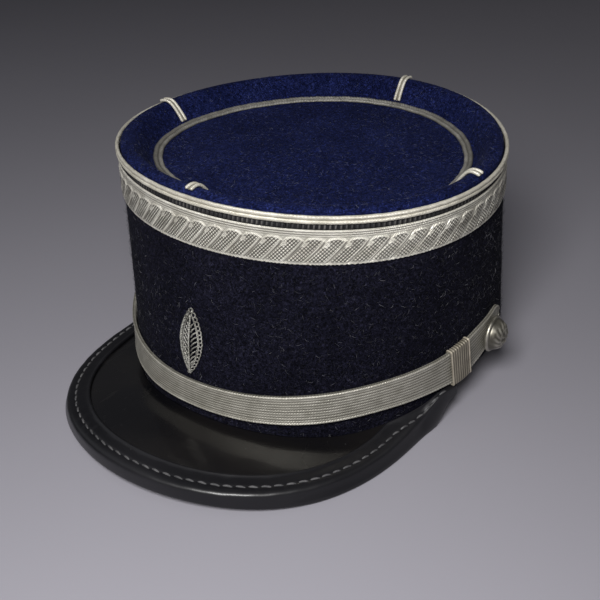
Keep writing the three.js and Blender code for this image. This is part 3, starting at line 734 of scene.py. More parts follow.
n_nap = 8500
nt, nr = rng.uniform(-np.pi, np.pi, n_nap), rng.uniform(0, 1, n_nap) ** 0.5
ninset = 1.2 + (1 - nr) * 98
ni, nh = crown_at(ninset, 0.02)
roots = crown_point(nt, ni, nh)
ni2, nh2 = crown_at(ninset, 1.0)
fibre_normals = unit(crown_point(nt, ni2, nh2) - roots)
nap = fibres("crown_fuzz", roots, fibre_normals, 6, (0.8, 2.6), (0.04, 0.30), (0.020, 0.048), ([0.1, 0.5, 0.8, 1.0], [0.46, 0.40, 0.11, 0.03]))
dressed(nap, CROWN_FIBRE, "crown_felt")

# ---- Top piping: two satin cords and the strip between them -----------------------------------------------------
theta, arc, girth = even_round(1500, 0.0)
parts = []
middle_down = (PIPING["top"] + PIPING["bottom"]) / 2
turns = round(girth / 3.4)
for k, (offset, radius) in enumerate(((-0.86, 0.84), (0.86, 0.84))):
    d = middle_down + offset + waves([(0.03, 60), (0.02, 141)], theta)
    line = wall_point(theta, d, PIPING["out"] - radius + waves([(0.03, 83)], theta))
    normal = wall_normal(theta, d + 0 * theta)
    P = tube_points(line, radius, 12, normal, twist=(1 if k else -1) * 2 * np.pi * turns * arc / girth, lobes=3, depth=0.10)
    nu, nv = P.shape[:2]
    I, J = np.meshgrid(np.arange(nu), np.arange(nv), indexing="ij")
    I2, J2 = (I + 1) % nu, (J + 1) % nv
    quads = np.stack([I * nv + J, I2 * nv + J, I2 * nv + J2, I * nv + J2], -1).reshape(-1, 4)
    A, C = np.append(arc, girth), np.linspace(0, 2 * np.pi * radius, nv + 1)
    uv = np.stack([np.stack([A[I], C[J]], -1), np.stack([A[I + 1], C[J]], -1), np.stack([A[I + 1], C[J + 1]], -1), np.stack([A[I], C[J + 1]], -1)], 2).reshape(-1, 4, 2)
    phi = np.linspace(0, 2 * np.pi, nv, endpoint=False)[None]
    turn = ((1 if k else -1) * 2 * np.pi * turns * arc / girth)[:, None]
    # painted shade in the grooves between the twisted strands
    shade_and_patina = (1 - np.abs(np.cos(1.5 * (phi - turn)))) ** 3 * 0.35
    parts.append((P.reshape(-1, 3), [quads], [uv], {"shade_and_patina": shade_and_patina}))
piping = joined("piping_cords", parts)
dressed(piping, CORD_PAINT, "silver_braid", "top_piping")

th2, arc2, girth2 = even_round(360, 0.0)
strip = np.array([[middle_down - 1.0, 0.35], [middle_down - 1.0, 1.0], [middle_down - 0.35, 1.25], [middle_down + 0.35, 1.25], [middle_down + 1.0, 1.0], [middle_down + 1.0, 0.35]])
P = wall_point(th2[:, None] + 0 * strip[None, :, 0], strip[None, :, 0] + 0 * th2[:, None], strip[None, :, 1] + 0 * th2[:, None])
# the strip between the cords is darkened all over: painted shade in the recess between them
core = lofted("piping_core", P, np.append(arc2, girth2), np.append(strip[:, 0], strip[0, 0] + 4), ring=True, values={"shade_and_patina": np.full(P.shape[:2], 0.9)})
dressed(core, CORD_PAINT, "silver_braid")

# ---- Grosgrain ribbon -----------------------------------------------------------------------------------------------
ribs = round(even_round(4, 1.3)[2] / GROSGRAIN["pitch"])
theta, arc, girth = even_round(ribs * 7, 1.3)
share = (arc / girth * ribs) % 1.0
crest = np.sin(np.pi * share) ** 0.8
d_rows = np.array([GROSGRAIN["top"], GROSGRAIN["top"] + 0.18, 0.8, 1.3, 1.8, GROSGRAIN["bottom"] - 0.18, GROSGRAIN["bottom"]])
edge_in = np.array([0.25, 0.85, 1.0, 1.0, 1.0, 0.85, 0.25])
front_out = 0.42 + (GROSGRAIN["out"] - 0.42) * crest[:, None] * edge_in[None]
wavy = 0.10 * (crest[:, None] - 0.5) * np.array([-1, -0.6, 0, 0, 0, 0.6, 1])[None]
D = np.concatenate([d_rows[None] + wavy, np.broadcast_to(d_rows[None, ::-2], (len(theta), 4))], 1)
O = np.concatenate([front_out, np.full((len(theta), 4), GAP)], 1)
P = wall_point(theta[:, None] + 0 * D, D, O)
rib_tone = np.repeat(np.clip(0.5 + 0.5 * np.sin(np.arange(ribs) * 12.9898 + 78.2), 0, 1), 7)
# painted highlight along each rib's crest, stronger on some ribs than others
painted_crest_highlight = (crest**12 * (0.15 + 0.85 * rib_tone))[:, None] * np.concatenate([edge_in, np.zeros(4)])[None]
ribbon = lofted("ribbon_ribs", P, np.append(arc, girth), np.arange(12) * 0.4, ring=True, values={"shade_and_patina": np.clip(1 - painted_crest_highlight, 0, 1)})
dressed(ribbon, RIBBON_PAINT, "ribbon", "grosgrain_ribbon")

# ---- Lace: three border cords, slanting leaves under scalloped tops, a cord at the lower edge -----------------
leaves = round(even_round(4, 9.0)[2] / LACE["pitch"])
theta, arc, girth = even_round(leaves * 24, 9.0)
width = LACE["bottom"] - LACE["top"]
v = np.concatenate([[0.0, 0.08, 0.22], np.arange(0.42, 3.1, 0.215), np.arange(3.3, width - 1.35, 0.29), np.arange(width - 1.25, width - 0.1, 0.2), [width - 0.04]])
pitch = girth / leaves
S, V = np.meshgrid(arc, v, indexing="ij")


def cord_bump(v, centre, radius, tall):
    return tall * np.sqrt(np.clip(1 - ((v - centre) / radius) ** 2, 0, 1))


relief = np.full(S.shape, 0.10)
# dark is painted shade: between the border cords, in the groove beside each leaf, between the beads, under the scallop
# valleys, in the eyes and along the foot
dark = np.full(S.shape, 0.10)
jitter = waves([(0.05, 3.1), (0.04, 7.7)], S)
for centre, radius, tall in ((0.52, 0.47, 0.50), (1.50, 0.44, 0.36), (2.40, 0.44, 0.32)):
    bumpy = cord_bump(V + jitter, centre, radius, tall) * (1 + 0.10 * np.sin(2 * np.pi * S / 1.15 + centre * 5))
    relief = np.maximum(relief, bumpy + 0.05)
for centre, depth in ((1.01, 1.0), (1.96, 1.0), (2.86, 0.6)):
    dark = np.maximum(dark, depth * np.exp(-(((V + jitter - centre) / 0.25) ** 2)))
foot = width - 1.15
lean = 0.98 * (foot - V) - 0.022 * (foot - V) ** 2
Q = (S - lean) / pitch
leaf = Q - np.floor(Q)
top_q = (S - 0.98 * (foot - 4.6) + 0.022 * (foot - 4.6) ** 2) / pitch
arch = np.abs(np.sin(np.pi * (top_q - 0.02)))
scallop = 3.05 + 1.95 * (1 - arch**0.6)
inside = 1 / (1 + np.exp(-(V - scallop) / 0.13)) * (V < foot + 0.15)
pillow = 0.18 + 0.40 * np.sin(np.pi * np.clip(leaf, 0, 1)) ** 0.55
along = (S * 0.72 - V * 0.69) * 1.0
over = (S * 0.69 + V * 0.72) * 1.0
beads = (0.5 + 0.5 * np.cos(2 * np.pi * over / 0.98)) * (0.45 + 0.55 * (0.5 + 0.5 * np.cos(2 * np.pi * (along / 1.05 + 0.5 * np.round(over / 0.98)))))
ridge = np.exp(-(((leaf - 0.885) / 0.055) ** 2))
groove = np.exp(-((((leaf + 0.5) % 1.0 - 0.5 - 0.01) / 0.055) ** 2))
body = pillow + 0.12 * beads * (1 - ridge) + 0.22 * ridge - 0.26 * groove
relief = relief * (1 - inside) + inside * body
dark = dark * (1 - inside) + inside * np.clip(0.12 * (1 - beads) ** 1.5 * (1 - ridge) + 0.90 * groove, 0, 1)
beaded = inside * (1 - ridge) * (1 - groove) * (V < foot - 0.1)
# a raised rim along each leaf top, with the painted shade taken off it
rim_of_leaf = np.exp(-(((V - scallop - 0.28) / 0.24) ** 2)) * (V < foot)
relief += 0.20 * rim_of_leaf
dark *= 1 - 0.75 * rim_of_leaf
# painted shadow under each scallop valley
valley_shadow = np.exp(-(((V - scallop + 0.55) / 0.5) ** 2)) * (1 - arch) ** 0.8 * (V > 2.9)
dark = np.maximum(dark, 0.62 * valley_shadow)
beaded *= 1 - np.clip(1.4 * rim_of_leaf, 0, 1)
eye_s = (((S - lean) / pitch - 0.17 + 0.5) % 1.0 - 0.5) * pitch
eye_v = V - 5.95
eye_r = np.hypot(eye_s, eye_v * 1.05)
relief += 0.16 * np.exp(-(((eye_r - 0.75) / 0.26) ** 2))
dark = dark * (1 - 0.6 * np.exp(-(((eye_r - 0.75) / 0.28) ** 2)))
beaded *= 1 - np.clip(1.3 * np.exp(-((eye_r / 1.0) ** 4)), 0, 1)
# painted shade in the hollow at each eye's centre
dark = np.maximum(dark, 0.75 * np.exp(-((eye_r / 0.36) ** 2)))
low_cord = cord_bump(V + 0.10 * np.sin(2 * np.pi * S / 2.1 + np.sin(S * 0.7)), width - 0.62, 0.60, 0.46) * (1 + 0.14 * np.sin(2 * np.pi * S / 1.3))
relief = np.maximum(relief, low_cord + 0.04)
# painted shade where the leaves meet the lower cord
dark = np.maximum(dark, 0.55 * np.exp(-(((V - foot + 0.02) / 0.16) ** 2)))
relief += 0.05 * waves([(1, 1.9, 1.3), (1, 4.3, 2.9)], S, V)
fade = np.clip(np.minimum(V, width - V) / 0.22, 0, 1) ** 0.5
front_out = GAP + 0.22 + (LACE["out"] - GAP - 0.22) * np.clip(relief / 0.80, 0, 1.15) * fade
ragged = 0.16 * np.sin(2 * np.pi * S[:, -1] / 1.7 + 2 * np.sin(S[:, -1] * 0.31)) + 0.08 * np.sin(2 * np.pi * S[:, -1] / 0.83)
V2 = V + np.clip((V - (width - 0.9)) / 0.9, 0, 1) * ragged[:, None]
back_v = np.array([width - 0.2, width * 0.66, width * 0.33, 0.1])
D = np.concatenate([V2, np.broadcast_to(back_v, (len(theta), 4))], 1) + LACE["top"]
O = np.concatenate([front_out, np.full((len(theta), 4), GAP)], 1)
shade_and_patina = np.concatenate([np.clip(dark, 0, 1), np.zeros((len(theta), 4))], 1)
beaded = np.concatenate([beaded, np.zeros((len(theta), 4))], 1)
P = wall_point(theta[:, None] + 0 * D, D, O)
lace = lofted("lace_leaves", P, np.append(arc, girth), np.append(np.append(v, back_v), -0.2), ring=True, values={"shade_and_patina": shade_and_patina, "beaded": beaded})
dressed(lace, LACE_PAINT, "silver_lace", "lace_band")

# ---- Oval soutache on the crown ----------------------------------------------------------------------------------------
theta, arc, girth = even_round(1300, 0.0)
scale = 0.82
arc, girth = arc * scale, girth * scale
chevrons = round(girth / 1.5)
w = np.linspace(0, 1, 17)
S, W = np.meshgrid(arc, w, indexing="ij")
side = np.where(W < 0.5, W / 0.5, (W - 0.5) / 0.5)
lobe = np.sqrt(np.clip(1 - (2 * side - 1) ** 2, 0, 1))
plait = 0.5 + 0.5 * np.cos(2 * np.pi * (S / girth * chevrons + np.where(W < 0.5, side, -side) * 0.9))
rise = GAP + 0.10 + (RING_BRAID["thick"] - 0.25) * lobe * (0.80 + 0.20 * plait) + waves([(0.06, 0.9), (0.05, 2.3)], S)
# painted shade where the two cords dip at their edges and in the plait's gaps; the outer cord is also made darker all
# over
shade_and_patina = np.clip((1 - lobe) ** 1.5 * 0.9 + 0.35 * (1 - plait) ** 2, 0, 1) * 0.9
shade_and_patina = np.clip(shade_and_patina * 1.15 + 0.30 * (W < 0.5), 0, 1)
drift = 0.10 * waves([(1, 0.21), (0.7, 0.53)], S)
span = RING_BRAID["inner"] - RING_BRAID["outer"]
inset_s = RING_BRAID["outer"] + 0.45 + (span - 0.9) * W + drift
inset_all = np.concatenate([inset_s, inset_s[:, [-1, 8, 0]]], 1)
rise_all = np.concatenate([rise, np.full((len(theta), 3), GAP)], 1)
ci, ch = crown_at(inset_all, rise_all)
P = oval_point(TOP_OVAL, theta[:, None] + 0 * ci, ci, ch)
shade_and_patina = np.concatenate([shade_and_patina, np.zeros((len(theta), 3))], 1)
ring = lofted("ring_soutache", P, np.append(arc, girth), np.append(np.append(w * span, [span, span / 2, 0.0]), -0.4), ring=True, values={"shade_and_patina": shade_and_patina})
dressed(ring, RING_PAINT, "silver_braid", "ring_braid")

# ---- Short braids over the rim: two satin cords on a core darkened with painted shade --------------------------------------
for node, degrees in CROSS_BRAID_AT.items():
    th = math.radians(degrees)
    step = 1e-3
    along = unit(oval_point(TOP_OVAL, np.array(th + step), 5.0) - oval_point(TOP_OVAL, np.array(th - step), 5.0))
    t = np.linspace(0, 1, 90)
    where = CROSS_BRAID["start"] - 0.1 + (CROSS_BRAID["end"] - CROSS_BRAID["start"] + 0.3) * t
    parts = []
    # the core between the cords gets painted shade
    for side, radius, rise, tone in ((-1.22, 0.72, 0.72, 0.0), (1.22, 0.72, 0.72, 0.05), (0.0, 0.55, 0.42, 0.95)):
        ci, ch = crown_at(where, GAP + rise - 0.05)
        line = crown_point(np.full(len(t), th), ci, ch) + along * (side + 0.10 * np.sin(t * 5 + side))[:, None]
        c0, h0 = crown_at(where, 3.0)
        up = unit(crown_point(np.full(len(t), th), c0, h0) - crown_point(np.full(len(t), th), *crown_at(where, 0.0)))
        s = np.concatenate([[0], np.cumsum(np.linalg.norm(np.diff(line, axis=0), axis=1))])
        tip = np.clip(np.minimum(s, s[-1] - s) / 0.5, 0.25, 1) ** 0.5
        P = tube_points(line, radius * tip, 12, up, twist=2 * np.pi * s / 3.0 * (1 if side > 0 else -1), lobes=3, depth=0.09)
        parts.append(tube_part(P, s, {"shade_and_patina": tone}))
    piece = joined(node.replace("braid_", "rim_braid_"), parts)
    dressed(piece, CORD_PAINT, "silver_braid", node)

# ---- Chin strap: lengthwise ribs between two twisted edge cords ---------------------------------------------------------
count = 760
spread = np.linspace(-1, 1, count)
degrees = STRAP["end"] * np.sign(spread) * (1 - (1 - np.abs(spread)) ** 1.12)
th = np.radians(degrees)
s_along = arc_to(th, 80.0)
over = (np.abs(degrees) - STRAP["round_from"]) / (STRAP["end"] - STRAP["round_from"] + 0.15)
rounded = np.where(over <= 0, 1, np.sqrt(np.clip(1 - over**2, 0, 1)))
w = np.linspace(0, 1, 41)
S, W = np.meshgrid(s_along, w, indexing="ij")
nominal = 13.6
mm = W * nominal
ribs = 9
inner_w = nominal - 2.4
inner_mm = np.clip((mm - 1.2) / inner_w, 0, 1)
rib = np.abs(np.sin(np.pi * ribs * inner_mm)) ** 0.7
edge_lo, edge_hi = cord_bump(mm, 0.62, 0.60, 1.0), cord_bump(mm, nominal - 0.62, 0.60, 1.0)
edge = np.maximum(edge_lo, edge_hi)
twist = 0.5 + 0.5 * np.cos(2 * np.pi * (S / 1.5 + np.where(W < 0.5, mm, -mm) * 0.55))
twill = 0.5 + 0.5 * np.cos(2 * np.pi * (S / 0.9 + inner_mm * 9))
field = np.where(edge > 0.02, edge * (0.82 + 0.18 * twist), 0.30 + 0.36 * rib + 0.05 * twill)
wave = waves([(0.05, 0.13), (0.04, 0.37)], S)
out = STRAP["inner"] + 0.55 + (STRAP["outer"] - STRAP["inner"] - 0.55) * np.clip(field, 0, 1.05) + wave * 0.5
# painted shade between the ribs, in the twists of the edge cords and in the twill
shade_and_patina = np.where(edge > 0.02, (1 - edge) ** 1.2 * 0.7 + 0.30 * (1 - twist) ** 2, 1.05 * (1 - rib) ** 0.9 + 0.22 * (1 - twill) + 0.06)
low, high = strap_edge(th, "low"), strap_edge(th, "high")
W2 = np.concatenate([W, np.broadcast_to(w[[-1, 20, 0]], (count, 3))], 1)
O2 = np.concatenate([out, np.full((count, 3), STRAP["inner"])], 1)
C2 = np.concatenate([np.clip(shade_and_patina, 0, 1), np.zeros((count, 3))], 1)
sag = 0.12 * waves([(1, 0.045), (0.6, 0.11)], s_along)
above = ((low + high) / 2 + sag)[:, None] + (W2 - 0.5) * ((high - low) * rounded)[:, None]
P = wall_above(th[:, None] + 0 * W2, above, O2)
strap = lofted("strap_galon", P, s_along, np.append(np.append(mm[0], [nominal, nominal / 2, 0.0]), -1.0), values={"shade_and_patina": C2})
dressed(strap, STRAP_PAINT, "strap_braid", "chin_strap")

# ---- Sliding loops round the strap ------------------------------------------------------------------------------------------
for node, side in (("strap_loop_left", 1), ("strap_loop_right", -1)):
    hole = dict(near=LOOP["inner"] + LOOP["face"], far=LOOP["outer"] - LOOP["face"] - 0.02, low=-LOOP["margin"] + LOOP["skin"], high=LOOP["nominal"] + LOOP["margin"] - LOOP["skin"])
    corner = 0.5
    path, normals = [], []
    for cx, cy, a0 in ((hole["far"] - corner, hole["high"] - corner, 0), (hole["near"] + corner, hole["high"] - corner, 90), (hole["near"] + corner, hole["low"] + corner, 180), (hole["far"] - corner, hole["low"] + corner, 270)):
        for a in np.radians(np.linspace(a0, a0 + 90, 6)):
            path.append((cx + corner * math.cos(a), cy + corner * math.sin(a)))
            normals.append((math.cos(a), math.sin(a)))
    path, normals = np.array(path), np.array(normals)
    # more sections down the face
    full_p, full_n = [], []
    for i in range(len(path)):
        j = (i + 1) % len(path)
        steps = max(1, int(np.linalg.norm(path[j] - path[i]) / 0.8))
        for k in range(steps):
            f = k / steps
            full_p.append(path[i] * (1 - f) + path[j] * f)
            full_n.append(normals[i] * (1 - f) + normals[j] * f)
    full_p, full_n = np.array(full_p), unit(np.array(full_n))
    s = np.concatenate([[0], np.cumsum(np.linalg.norm(np.diff(full_p, axis=0), axis=1))])
    w = np.linspace(0, 1, 61)
    ribs = 9
    rib = np.abs(np.sin(np.pi * ribs * w)) ** 0.7
    thick = 0.22 + 0.36 * rib
    thick[[0, -1]] = 0.12
    edge_cord = np.maximum(cord_bump(w, 0.04, 0.045, 0.72), cord_bump(w, 0.96, 0.045, 0.72))
    thick = np.maximum(thick * (1 - (edge_cord > 0.05)), edge_cord)
    thick[[0, -1]] = 0.15
    knots = 1 + 0.06 * np.sin(2 * np.pi * s / 1.1)[:, None]
    Wd = np.concatenate([np.broadcast_to(w, (len(s), 61)), np.broadcast_to(w[[-1, 30, 0]], (len(s), 3))], 1)
    T = np.concatenate([thick[None] * knots, np.zeros((len(s), 3))], 1)
    acrosspos = full_p[:, None, 1] + full_n[:, None, 1] * T
    th = np.radians(side * (LOOP["start"] + (LOOP["end"] - LOOP["start"]) * Wd + LOOP["lean"] * (0.5 - acrosspos / LOOP["nominal"])))
    low, high = strap_edge(th, "low"), strap_edge(th, "high")
    P = wall_above(th, low + acrosspos * (high - low) / LOOP["nominal"], full_p[:, None, 0] + full_n[:, None, 0] * T)
    # painted shade between the ribs; the rest of the face a little darker all over
    shade_and_patina = np.concatenate([np.broadcast_to(np.where(edge_cord > 0.05, 0.0, np.clip(0.30 + 0.75 * (1 - rib) ** 0.9, 0, 1)), (len(s), 61)), np.zeros((len(s), 3))], 1)
    loop = lofted("loop_cords_" + node.split("_")[-1], P, np.append(s, s[-1] + 0.8), np.append(np.append(w * 10.5, [10.5, 5, 0]), -0.5), ring=True, values={"shade_and_patina": shade_and_patina})
    dressed(loop, LOOP_PAINT, "strap_braid", node)

# ---- Buttons ------------------------------------------------------------------------------------------------------------------
for node, side in (("button_left", 1), ("button_right", -1)):
    th = np.array(math.radians(side * BUTTON["theta"]))
    centre = wall_above(th, BUTTON["above"], BUTTON["out"])
    up = unit(wall_above(th, BUTTON["above"] + 5, BUTTON["out"]) - centre)
    axis = wall_normal(th, np.array(80.0))
    axis = unit(axis - dot(axis, up) * up)
    across = np.cross(axis, up)
    line, _ = smooth_line(np.column_stack([BUTTON_PROFILE["radius"], BUTTON_PROFILE["rise"]])[1:], 9)
    line[:, 0] = np.clip(line[:, 0], 0.02, BUTTON["radius"])
    around = 112
    phi = np.linspace(0, 2 * np.pi, around, endpoint=False)
    R, F = np.meshgrid(line[:, 0], phi, indexing="ij")
    Z = np.broadcast_to(line[:, 1][:, None], R.shape)
    on_dome = Z > 2.3
    rope = (0.5 + 0.5 * np.cos(36 * F + 6 * R)) * np.exp(-(((Z - 1.9) / 0.5) ** 2)) * (R > 7)
    wreath = (0.5 + 0.5 * np.cos(13 * F + 2.2 * R)) * np.exp(-(((R - 5.3) / 1.0) ** 2)) * on_dome
    petals = (0.5 + 0.5 * np.cos(6 * F)) ** 2 * np.exp(-(((R - 2.3) / 1.15) ** 2)) * on_dome
    pearl = np.exp(-((R / 0.75) ** 2)) * on_dome
    ring_line = np.exp(-(((R - 3.9) / 0.25) ** 2)) * on_dome
    lift = 0.05 * rope + 0.42 * wreath + 0.50 * petals + 0.35 * pearl + 0.18 * ring_line
    Zr = Z + lift * np.where(on_dome, 1, 0.4)
    Rr = np.minimum(R + 0.25 * lift, BUTTON["radius"] + 0.1)
    P = centre + Zr[..., None] * axis + (Rr * np.cos(F))[..., None] * up + (Rr * np.sin(F))[..., None] * across
    low = np.clip(1 - 2.2 * lift / 0.5, 0, 1) * on_dome * 0.75
    low = np.maximum(low, 0.9 * np.exp(-(((Z - 2.35) / 0.22) ** 2)) * (R < 7.9))
    piece = lofted("button_dome_" + node.split("_")[-1], P, line[:, 1], np.linspace(0, 50, around + 1), values={"shade_and_patina": low})
    dressed(piece, BUTTON_PAINT, "button_metal", node)

# ---- Badge: plain pointed oval in metal purl ----------------------------------------------------------------------------------------
parts = []
front_radius = BASE_OVAL["half_width"]


def badge_line(x, up, out):
    return wall_above(np.asarray(x) / front_radius, BADGE["foot"] + np.asarray(up), np.asarray(out))


def purl(x, up, out, thick, bead=0.92, tone=0.0):
    """A length of coiled metal thread through places on the front of the band."""
    base, _ = smooth_line(np.column_stack([x, up, out]), 16)
    L = np.concatenate([[0], np.cumsum(np.linalg.norm(np.diff(base, axis=0), axis=1))])
    s = np.linspace(0, L[-1], max(12, int(L[-1] / 0.19)))
    base = np.column_stack([np.interp(s, L, base[:, k]) for k in range(3)])
    line = badge_line(base[:, 0], base[:, 1], base[:, 2])
    ends = np.clip(np.minimum(s, s[-1] - s) / 0.5, 0.15, 1) ** 0.6
    r = thick * (0.70 + 0.30 * np.abs(np.sin(np.pi * s / bead))) * ends
    P = tube_points(line, r, 8, wall_normal(base[:, 0] / front_radius, 60 + 0 * s))
    points, faces, uvs, _ = tube_part(P, s)
    # painted shade between the coil's turns, plus a random darker tone for each length
    shade_and_patina = np.repeat(0.75 * (1 - np.abs(np.sin(np.pi * s / bead))) ** 1.5 + tone, 8)
    return points, faces, uvs, {"shade_and_patina": np.append(shade_and_patina, [tone, tone])}


BADGE_HALF = dict(up=[0, 2.0, 5.6, 10.2, 15.2, 20.2, 24.8, 28.4, 30.4], out=[0, 1.9, 3.9, 5.5, 6.2, 5.5, 3.9, 1.9, 0])


def badge_half(up):
    return np.interp(up, BADGE_HALF["up"], BADGE_HALF["out"])


# pointed border of small coil loops, one after the other, with a thinner line inside it
for side in (-1, 1):
    for up in np.linspace(1.2, 29.3, 17):
        half, slope = badge_half(up), (badge_half(up + 0.5) - badge_half(up - 0.5))
        t = np.linspace(0, 2 * np.pi, 9)
        ahead = unit(np.array([slope, 1.0]))
        u, w = 0.98 * np.cos(t) + rng.uniform(-0.08, 0.08), 0.62 * np.sin(t)
        parts.append(purl(side * (half - 0.95 + ahead[0] * u - ahead[1] * w), up + ahead[1] * u + ahead[0] * w, 1.15 + 0.35 * np.sin(t), 0.32, bead=0.62, tone=rng.uniform(0, 0.15)))
    up = np.linspace(3.6, 27.0, 9)
    parts.append(purl(side * np.maximum(badge_half(up) - 2.2, 0.5), up, np.full(9, 1.2), 0.30, bead=0.8, tone=0.12))
# slanting veins from a middle line
for side in (-1, 1):
    for up in np.arange(4.2, 23.5, 2.15):
        reach = badge_half(up + 3.0) - 2.5
        if reach > 0.7:
            rise = 1.5 + 0.55 * reach
            parts.append(purl([side * 0.35, side * reach * 0.55, side * reach], [up, up + rise * 0.62, up + rise], [1.25, 1.6, 1.1], 0.36, bead=0.85, tone=rng.uniform(0.0, 0.2)))
parts.append(purl([0.0, 0.15, -0.12, 0.1, 0.0], [1.6, 8.0, 15.0, 22.0, 27.6], [1.5, 2.0, 2.1, 2.0, 1.4], 0.44, bead=0.95))
badge = joined("badge_purl", parts)
dressed(badge, BADGE_PAINT, "badge_thread", "badge")

# ---- Visor ------------------------------------------------------------------------------------------------------------------------
count = 260
part = np.linspace(-1, 1, count)
w = np.linspace(0, 1, 49)
width = visor_section(part)[2]
edge_in = SHEET_EDGE * binding_scale(part)
PT, W = np.meshgrid(part, w, indexing="ij")
inset = edge_in[:, None] + (width - edge_in)[:, None] * W
wave = waves([(0.10, 5.1, 6.0), (0.06, 11.3, 9.0), (0.03, 27.0, 17.0)], PT, W) * np.sin(np.pi * np.clip(W, 0, 1)) * np.minimum(1, width / 40)[:, None]
top = visor_point(PT, inset, VISOR["cover"] - wave)
under = visor_point(PT[:, ::4], inset[:, ::4], VISOR["cover"] + VISOR["sheet"] - 0.05)[:, ::-1]
P = np.concatenate([top, under], 1)
s = np.concatenate([[0], np.cumsum(np.linalg.norm(np.diff(top[:, 0], axis=0), axis=1))])
visor = lofted("visor_plate", P, s, np.arange(P.shape[1] + 1) * 1.2)
dressed(visor, VISOR_PAINT, "visor_leather", "visor")

BINDING_ROWS = dict(
    inset=[11.0, 10.7, 10.3, 9.9, 9.4, 8.6, 7.4, 6.2, 5.4, 5.0, 4.7, 4.45, 4.2, 3.9, 3.5, 2.8, 2.0, 1.3, 0.75, 0.35, 0.08, 0, 0, 0, 0, 0.15, 0.6, 1.2, 1.9, 4.3, 4.8, 5.0, 5.0, 1.7, 1.6, 1.6, 1.9, 6.0, 10.9],
    drop=[0.55, 0.12, -0.12, -0.02, 0.24, 0.30, 0.26, 0.18, 0.14, 0.18, 0.26, 0.30, 0.26, 0.16, 0.10, 0.06, 0.06, 0.16, 0.38, 0.72, 1.25, 2.0, 3.5, 5.0, 6.0, 6.7, 7.2, 7.5, 7.6, 7.6, 7.4, 6.8, 4.05, 4.05, 3.9, 1.1, 0.95, 0.95, 0.95],
)
count = 420
part = np.linspace(-1, 1, count)
bi, bd = np.array(BINDING_ROWS["inset"]), np.array(BINDING_ROWS["drop"])
hang = column(CORNER_ROWS, VISOR["band_end"] * np.abs(part), "theta", "hang")[:, None]
I2 = np.broadcast_to(bi, (count, len(bi))) * binding_scale(part)[:, None]
D2 = np.broadcast_to(bd, (count, len(bd)))
D2 = np.where(D2 > 4.1, 4.1 + (D2 - 4.1) * hang, D2)
def smoothstep(x, low, high):
    t = np.clip((x - low) / (high - low), 0, 1)
    return t * t * (3 - 2 * t)


flare = FLARE["out"] * smoothstep(np.abs(part), FLARE["start"], FLARE["full"]) * (1 - smoothstep(np.abs(part), FLARE["fade"], 1))
outer_face = np.clip((bd - 1.6) / 4.4, 0, 1) * (np.arange(len(bd)) <= 31)
I2 = I2 - flare[:, None] * outer_face[None]
ripple = waves([(0.05, 61.0), (0.04, 137.0)], part)[:, None] * (bi < 9)[None] * (bd < 1)[None]
P = visor_point(part[:, None] + 0 * I2, I2, D2 + ripple)
s = np.concatenate([[0], np.cumsum(np.linalg.norm(np.diff(P[:, 20], axis=0), axis=1))])
binding = lofted("binding_strip", P, s, np.arange(len(bi) + 1) * 0.9)
dressed(binding, BINDING_PAINT, "binding_leather", "visor_binding")

fine = np.linspace(-0.985, 0.985, 3000)
line = visor_point(fine, 4.45 * binding_scale(fine), 0.30)
s = np.concatenate([[0], np.cumsum(np.linalg.norm(np.diff(line, axis=0), axis=1))])
stitch_pitch = 5.0
parts = []
for k in range(int(s[-1] / stitch_pitch)):
    a, b = k * stitch_pitch + 0.6, k * stitch_pitch + 0.6 + 4.0 + rng.uniform(-0.2, 0.2)
    at = np.linspace(a, b, 13)
    seg = np.column_stack([np.interp(at, s, line[:, j]) for j in range(3)])
    bow = np.sin(np.pi * np.linspace(0, 1, 13))
    slant = unit(np.cross(seg[-1] - seg[0], [0.0, 0.0, 1.0]))
    seg += slant * (np.linspace(-0.28, 0.28, 13) + rng.uniform(-0.06, 0.06))[:, None]
    seg[:, 2] += -0.45 + 0.68 * bow**0.5
    r = 0.16 + 0.36 * bow**0.45
    P = tube_points(seg, r, 9, None, twist=2 * np.pi * at / 1.9, lobes=2, depth=0.12)
    parts.append(tube_part(P, at))
stitches = joined("binding_stitches", parts)
dressed(stitches, STITCH_PAINT, "binding_leather")

# ---- Stage: floor, camera, light ---------------------------------------------------------------------------------------------------
floor_mesh = bpy.data.meshes.new("floor")
floor_mesh.from_pydata([(-6, -6, 0), (6, -6, 0), (6, 6, 0), (-6, 6, 0)], [], [(0, 1, 2, 3)])
floor = bpy.data.objects.new("floor", floor_mesh)
bpy.context.scene.collection.objects.link(floor)
floor.location.z = -0.0001
paper = Paint("floor_paper", Roughness=0.9, Specular_IOR_Level=0.15)
paper.set(Base_Color=paper.mix(paper.noise(3.0, 3.0), (0.285, 0.277, 0.315), (0.305, 0.297, 0.335)))
floor_mesh.materials.append(paper.material)

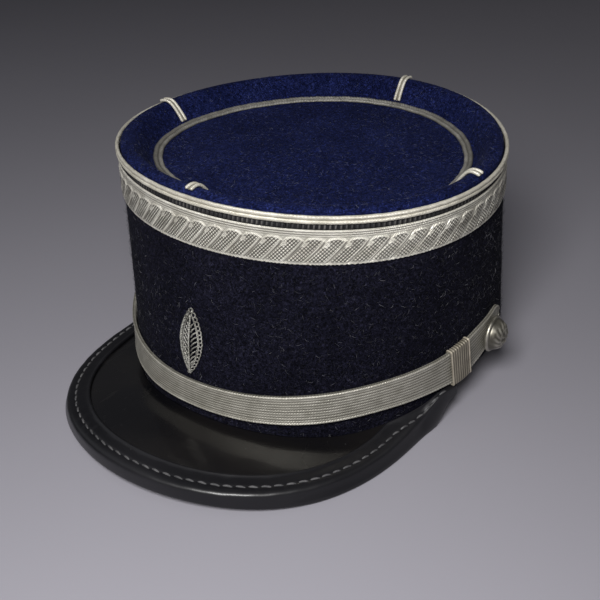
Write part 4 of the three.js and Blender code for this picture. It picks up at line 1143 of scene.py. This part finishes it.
# Camera at the photograph's viewing angle
VIEW = dict(azimuth=36.1595, elevation=29.7276, distance=429.397, roll=-0.2664, right=-8.1822, up=-33.7334, focal=880.9, px=310.14, py=306.68)
az, el, roll = (math.radians(VIEW[k]) for k in ("azimuth", "elevation", "roll"))
back = Vector((math.sin(az) * math.cos(el), -math.cos(az) * math.cos(el), math.sin(el)))
right = Vector((math.cos(az), math.sin(az), 0))
upward = back.cross(right)
spot = Vector((0, 0, 55)) + back * VIEW["distance"] + right * VIEW["right"] + upward * VIEW["up"]
R = right * math.cos(roll) + upward * math.sin(roll)
U = -right * math.sin(roll) + upward * math.cos(roll)
camera_data = bpy.data.cameras.new("camera")
camera = bpy.data.objects.new("camera", camera_data)
bpy.context.scene.collection.objects.link(camera)
camera_data.sensor_width, camera_data.sensor_fit = 36.0, "HORIZONTAL"
camera_data.lens = VIEW["focal"] * 36.0 / 600
camera_data.shift_x = -(VIEW["px"] - 300) / 600
camera_data.shift_y = (VIEW["py"] - 300) / 600
turned = Matrix((R, U, back)).transposed().to_4x4()
camera.matrix_world = Matrix.Translation((spot - Vector((0, CENTRE_Y, 0))) / 1000) @ turned
camera_data.clip_start, camera_data.clip_end = 0.01, 50
bpy.context.scene.camera = camera


def soft_light(name, at, aim, size, power, colour=(1, 1, 1), tall=None):
    data = bpy.data.lights.new(name, "AREA")
    data.shape, data.size, data.size_y = "RECTANGLE", size, tall or size
    data.energy, data.color = power, colour
    obj = bpy.data.objects.new(name, data)
    bpy.context.scene.collection.objects.link(obj)
    obj.location = at
    obj.rotation_mode = "QUATERNION"
    obj.rotation_quaternion = (Vector(aim) - Vector(at)).to_track_quat("-Z", "Y")
    return obj


soft_light("key", (0.20, -0.38, 0.38), (0.0, -0.02, 0.05), 0.17, 3.5, (1.0, 0.99, 0.975))
soft_light("fill", (-0.75, -0.25, 0.75), (0.0, 0.0, 0.05), 0.8, 0.6, (0.94, 0.96, 1.0))
soft_light("back", (0.45, 0.95, 0.80), (0.0, 0.0, 0.05), 0.9, 0.7, (1.0, 0.97, 0.93))
world = bpy.data.worlds.new("studio")
world.use_nodes = True
world.node_tree.nodes["Background"].inputs["Color"].default_value = (0.62, 0.62, 0.66, 1)
world.node_tree.nodes["Background"].inputs["Strength"].default_value = 0.085
bpy.context.scene.world = world
bpy.context.scene.view_settings.view_transform = "Standard"
bpy.context.scene.view_settings.look = "None"
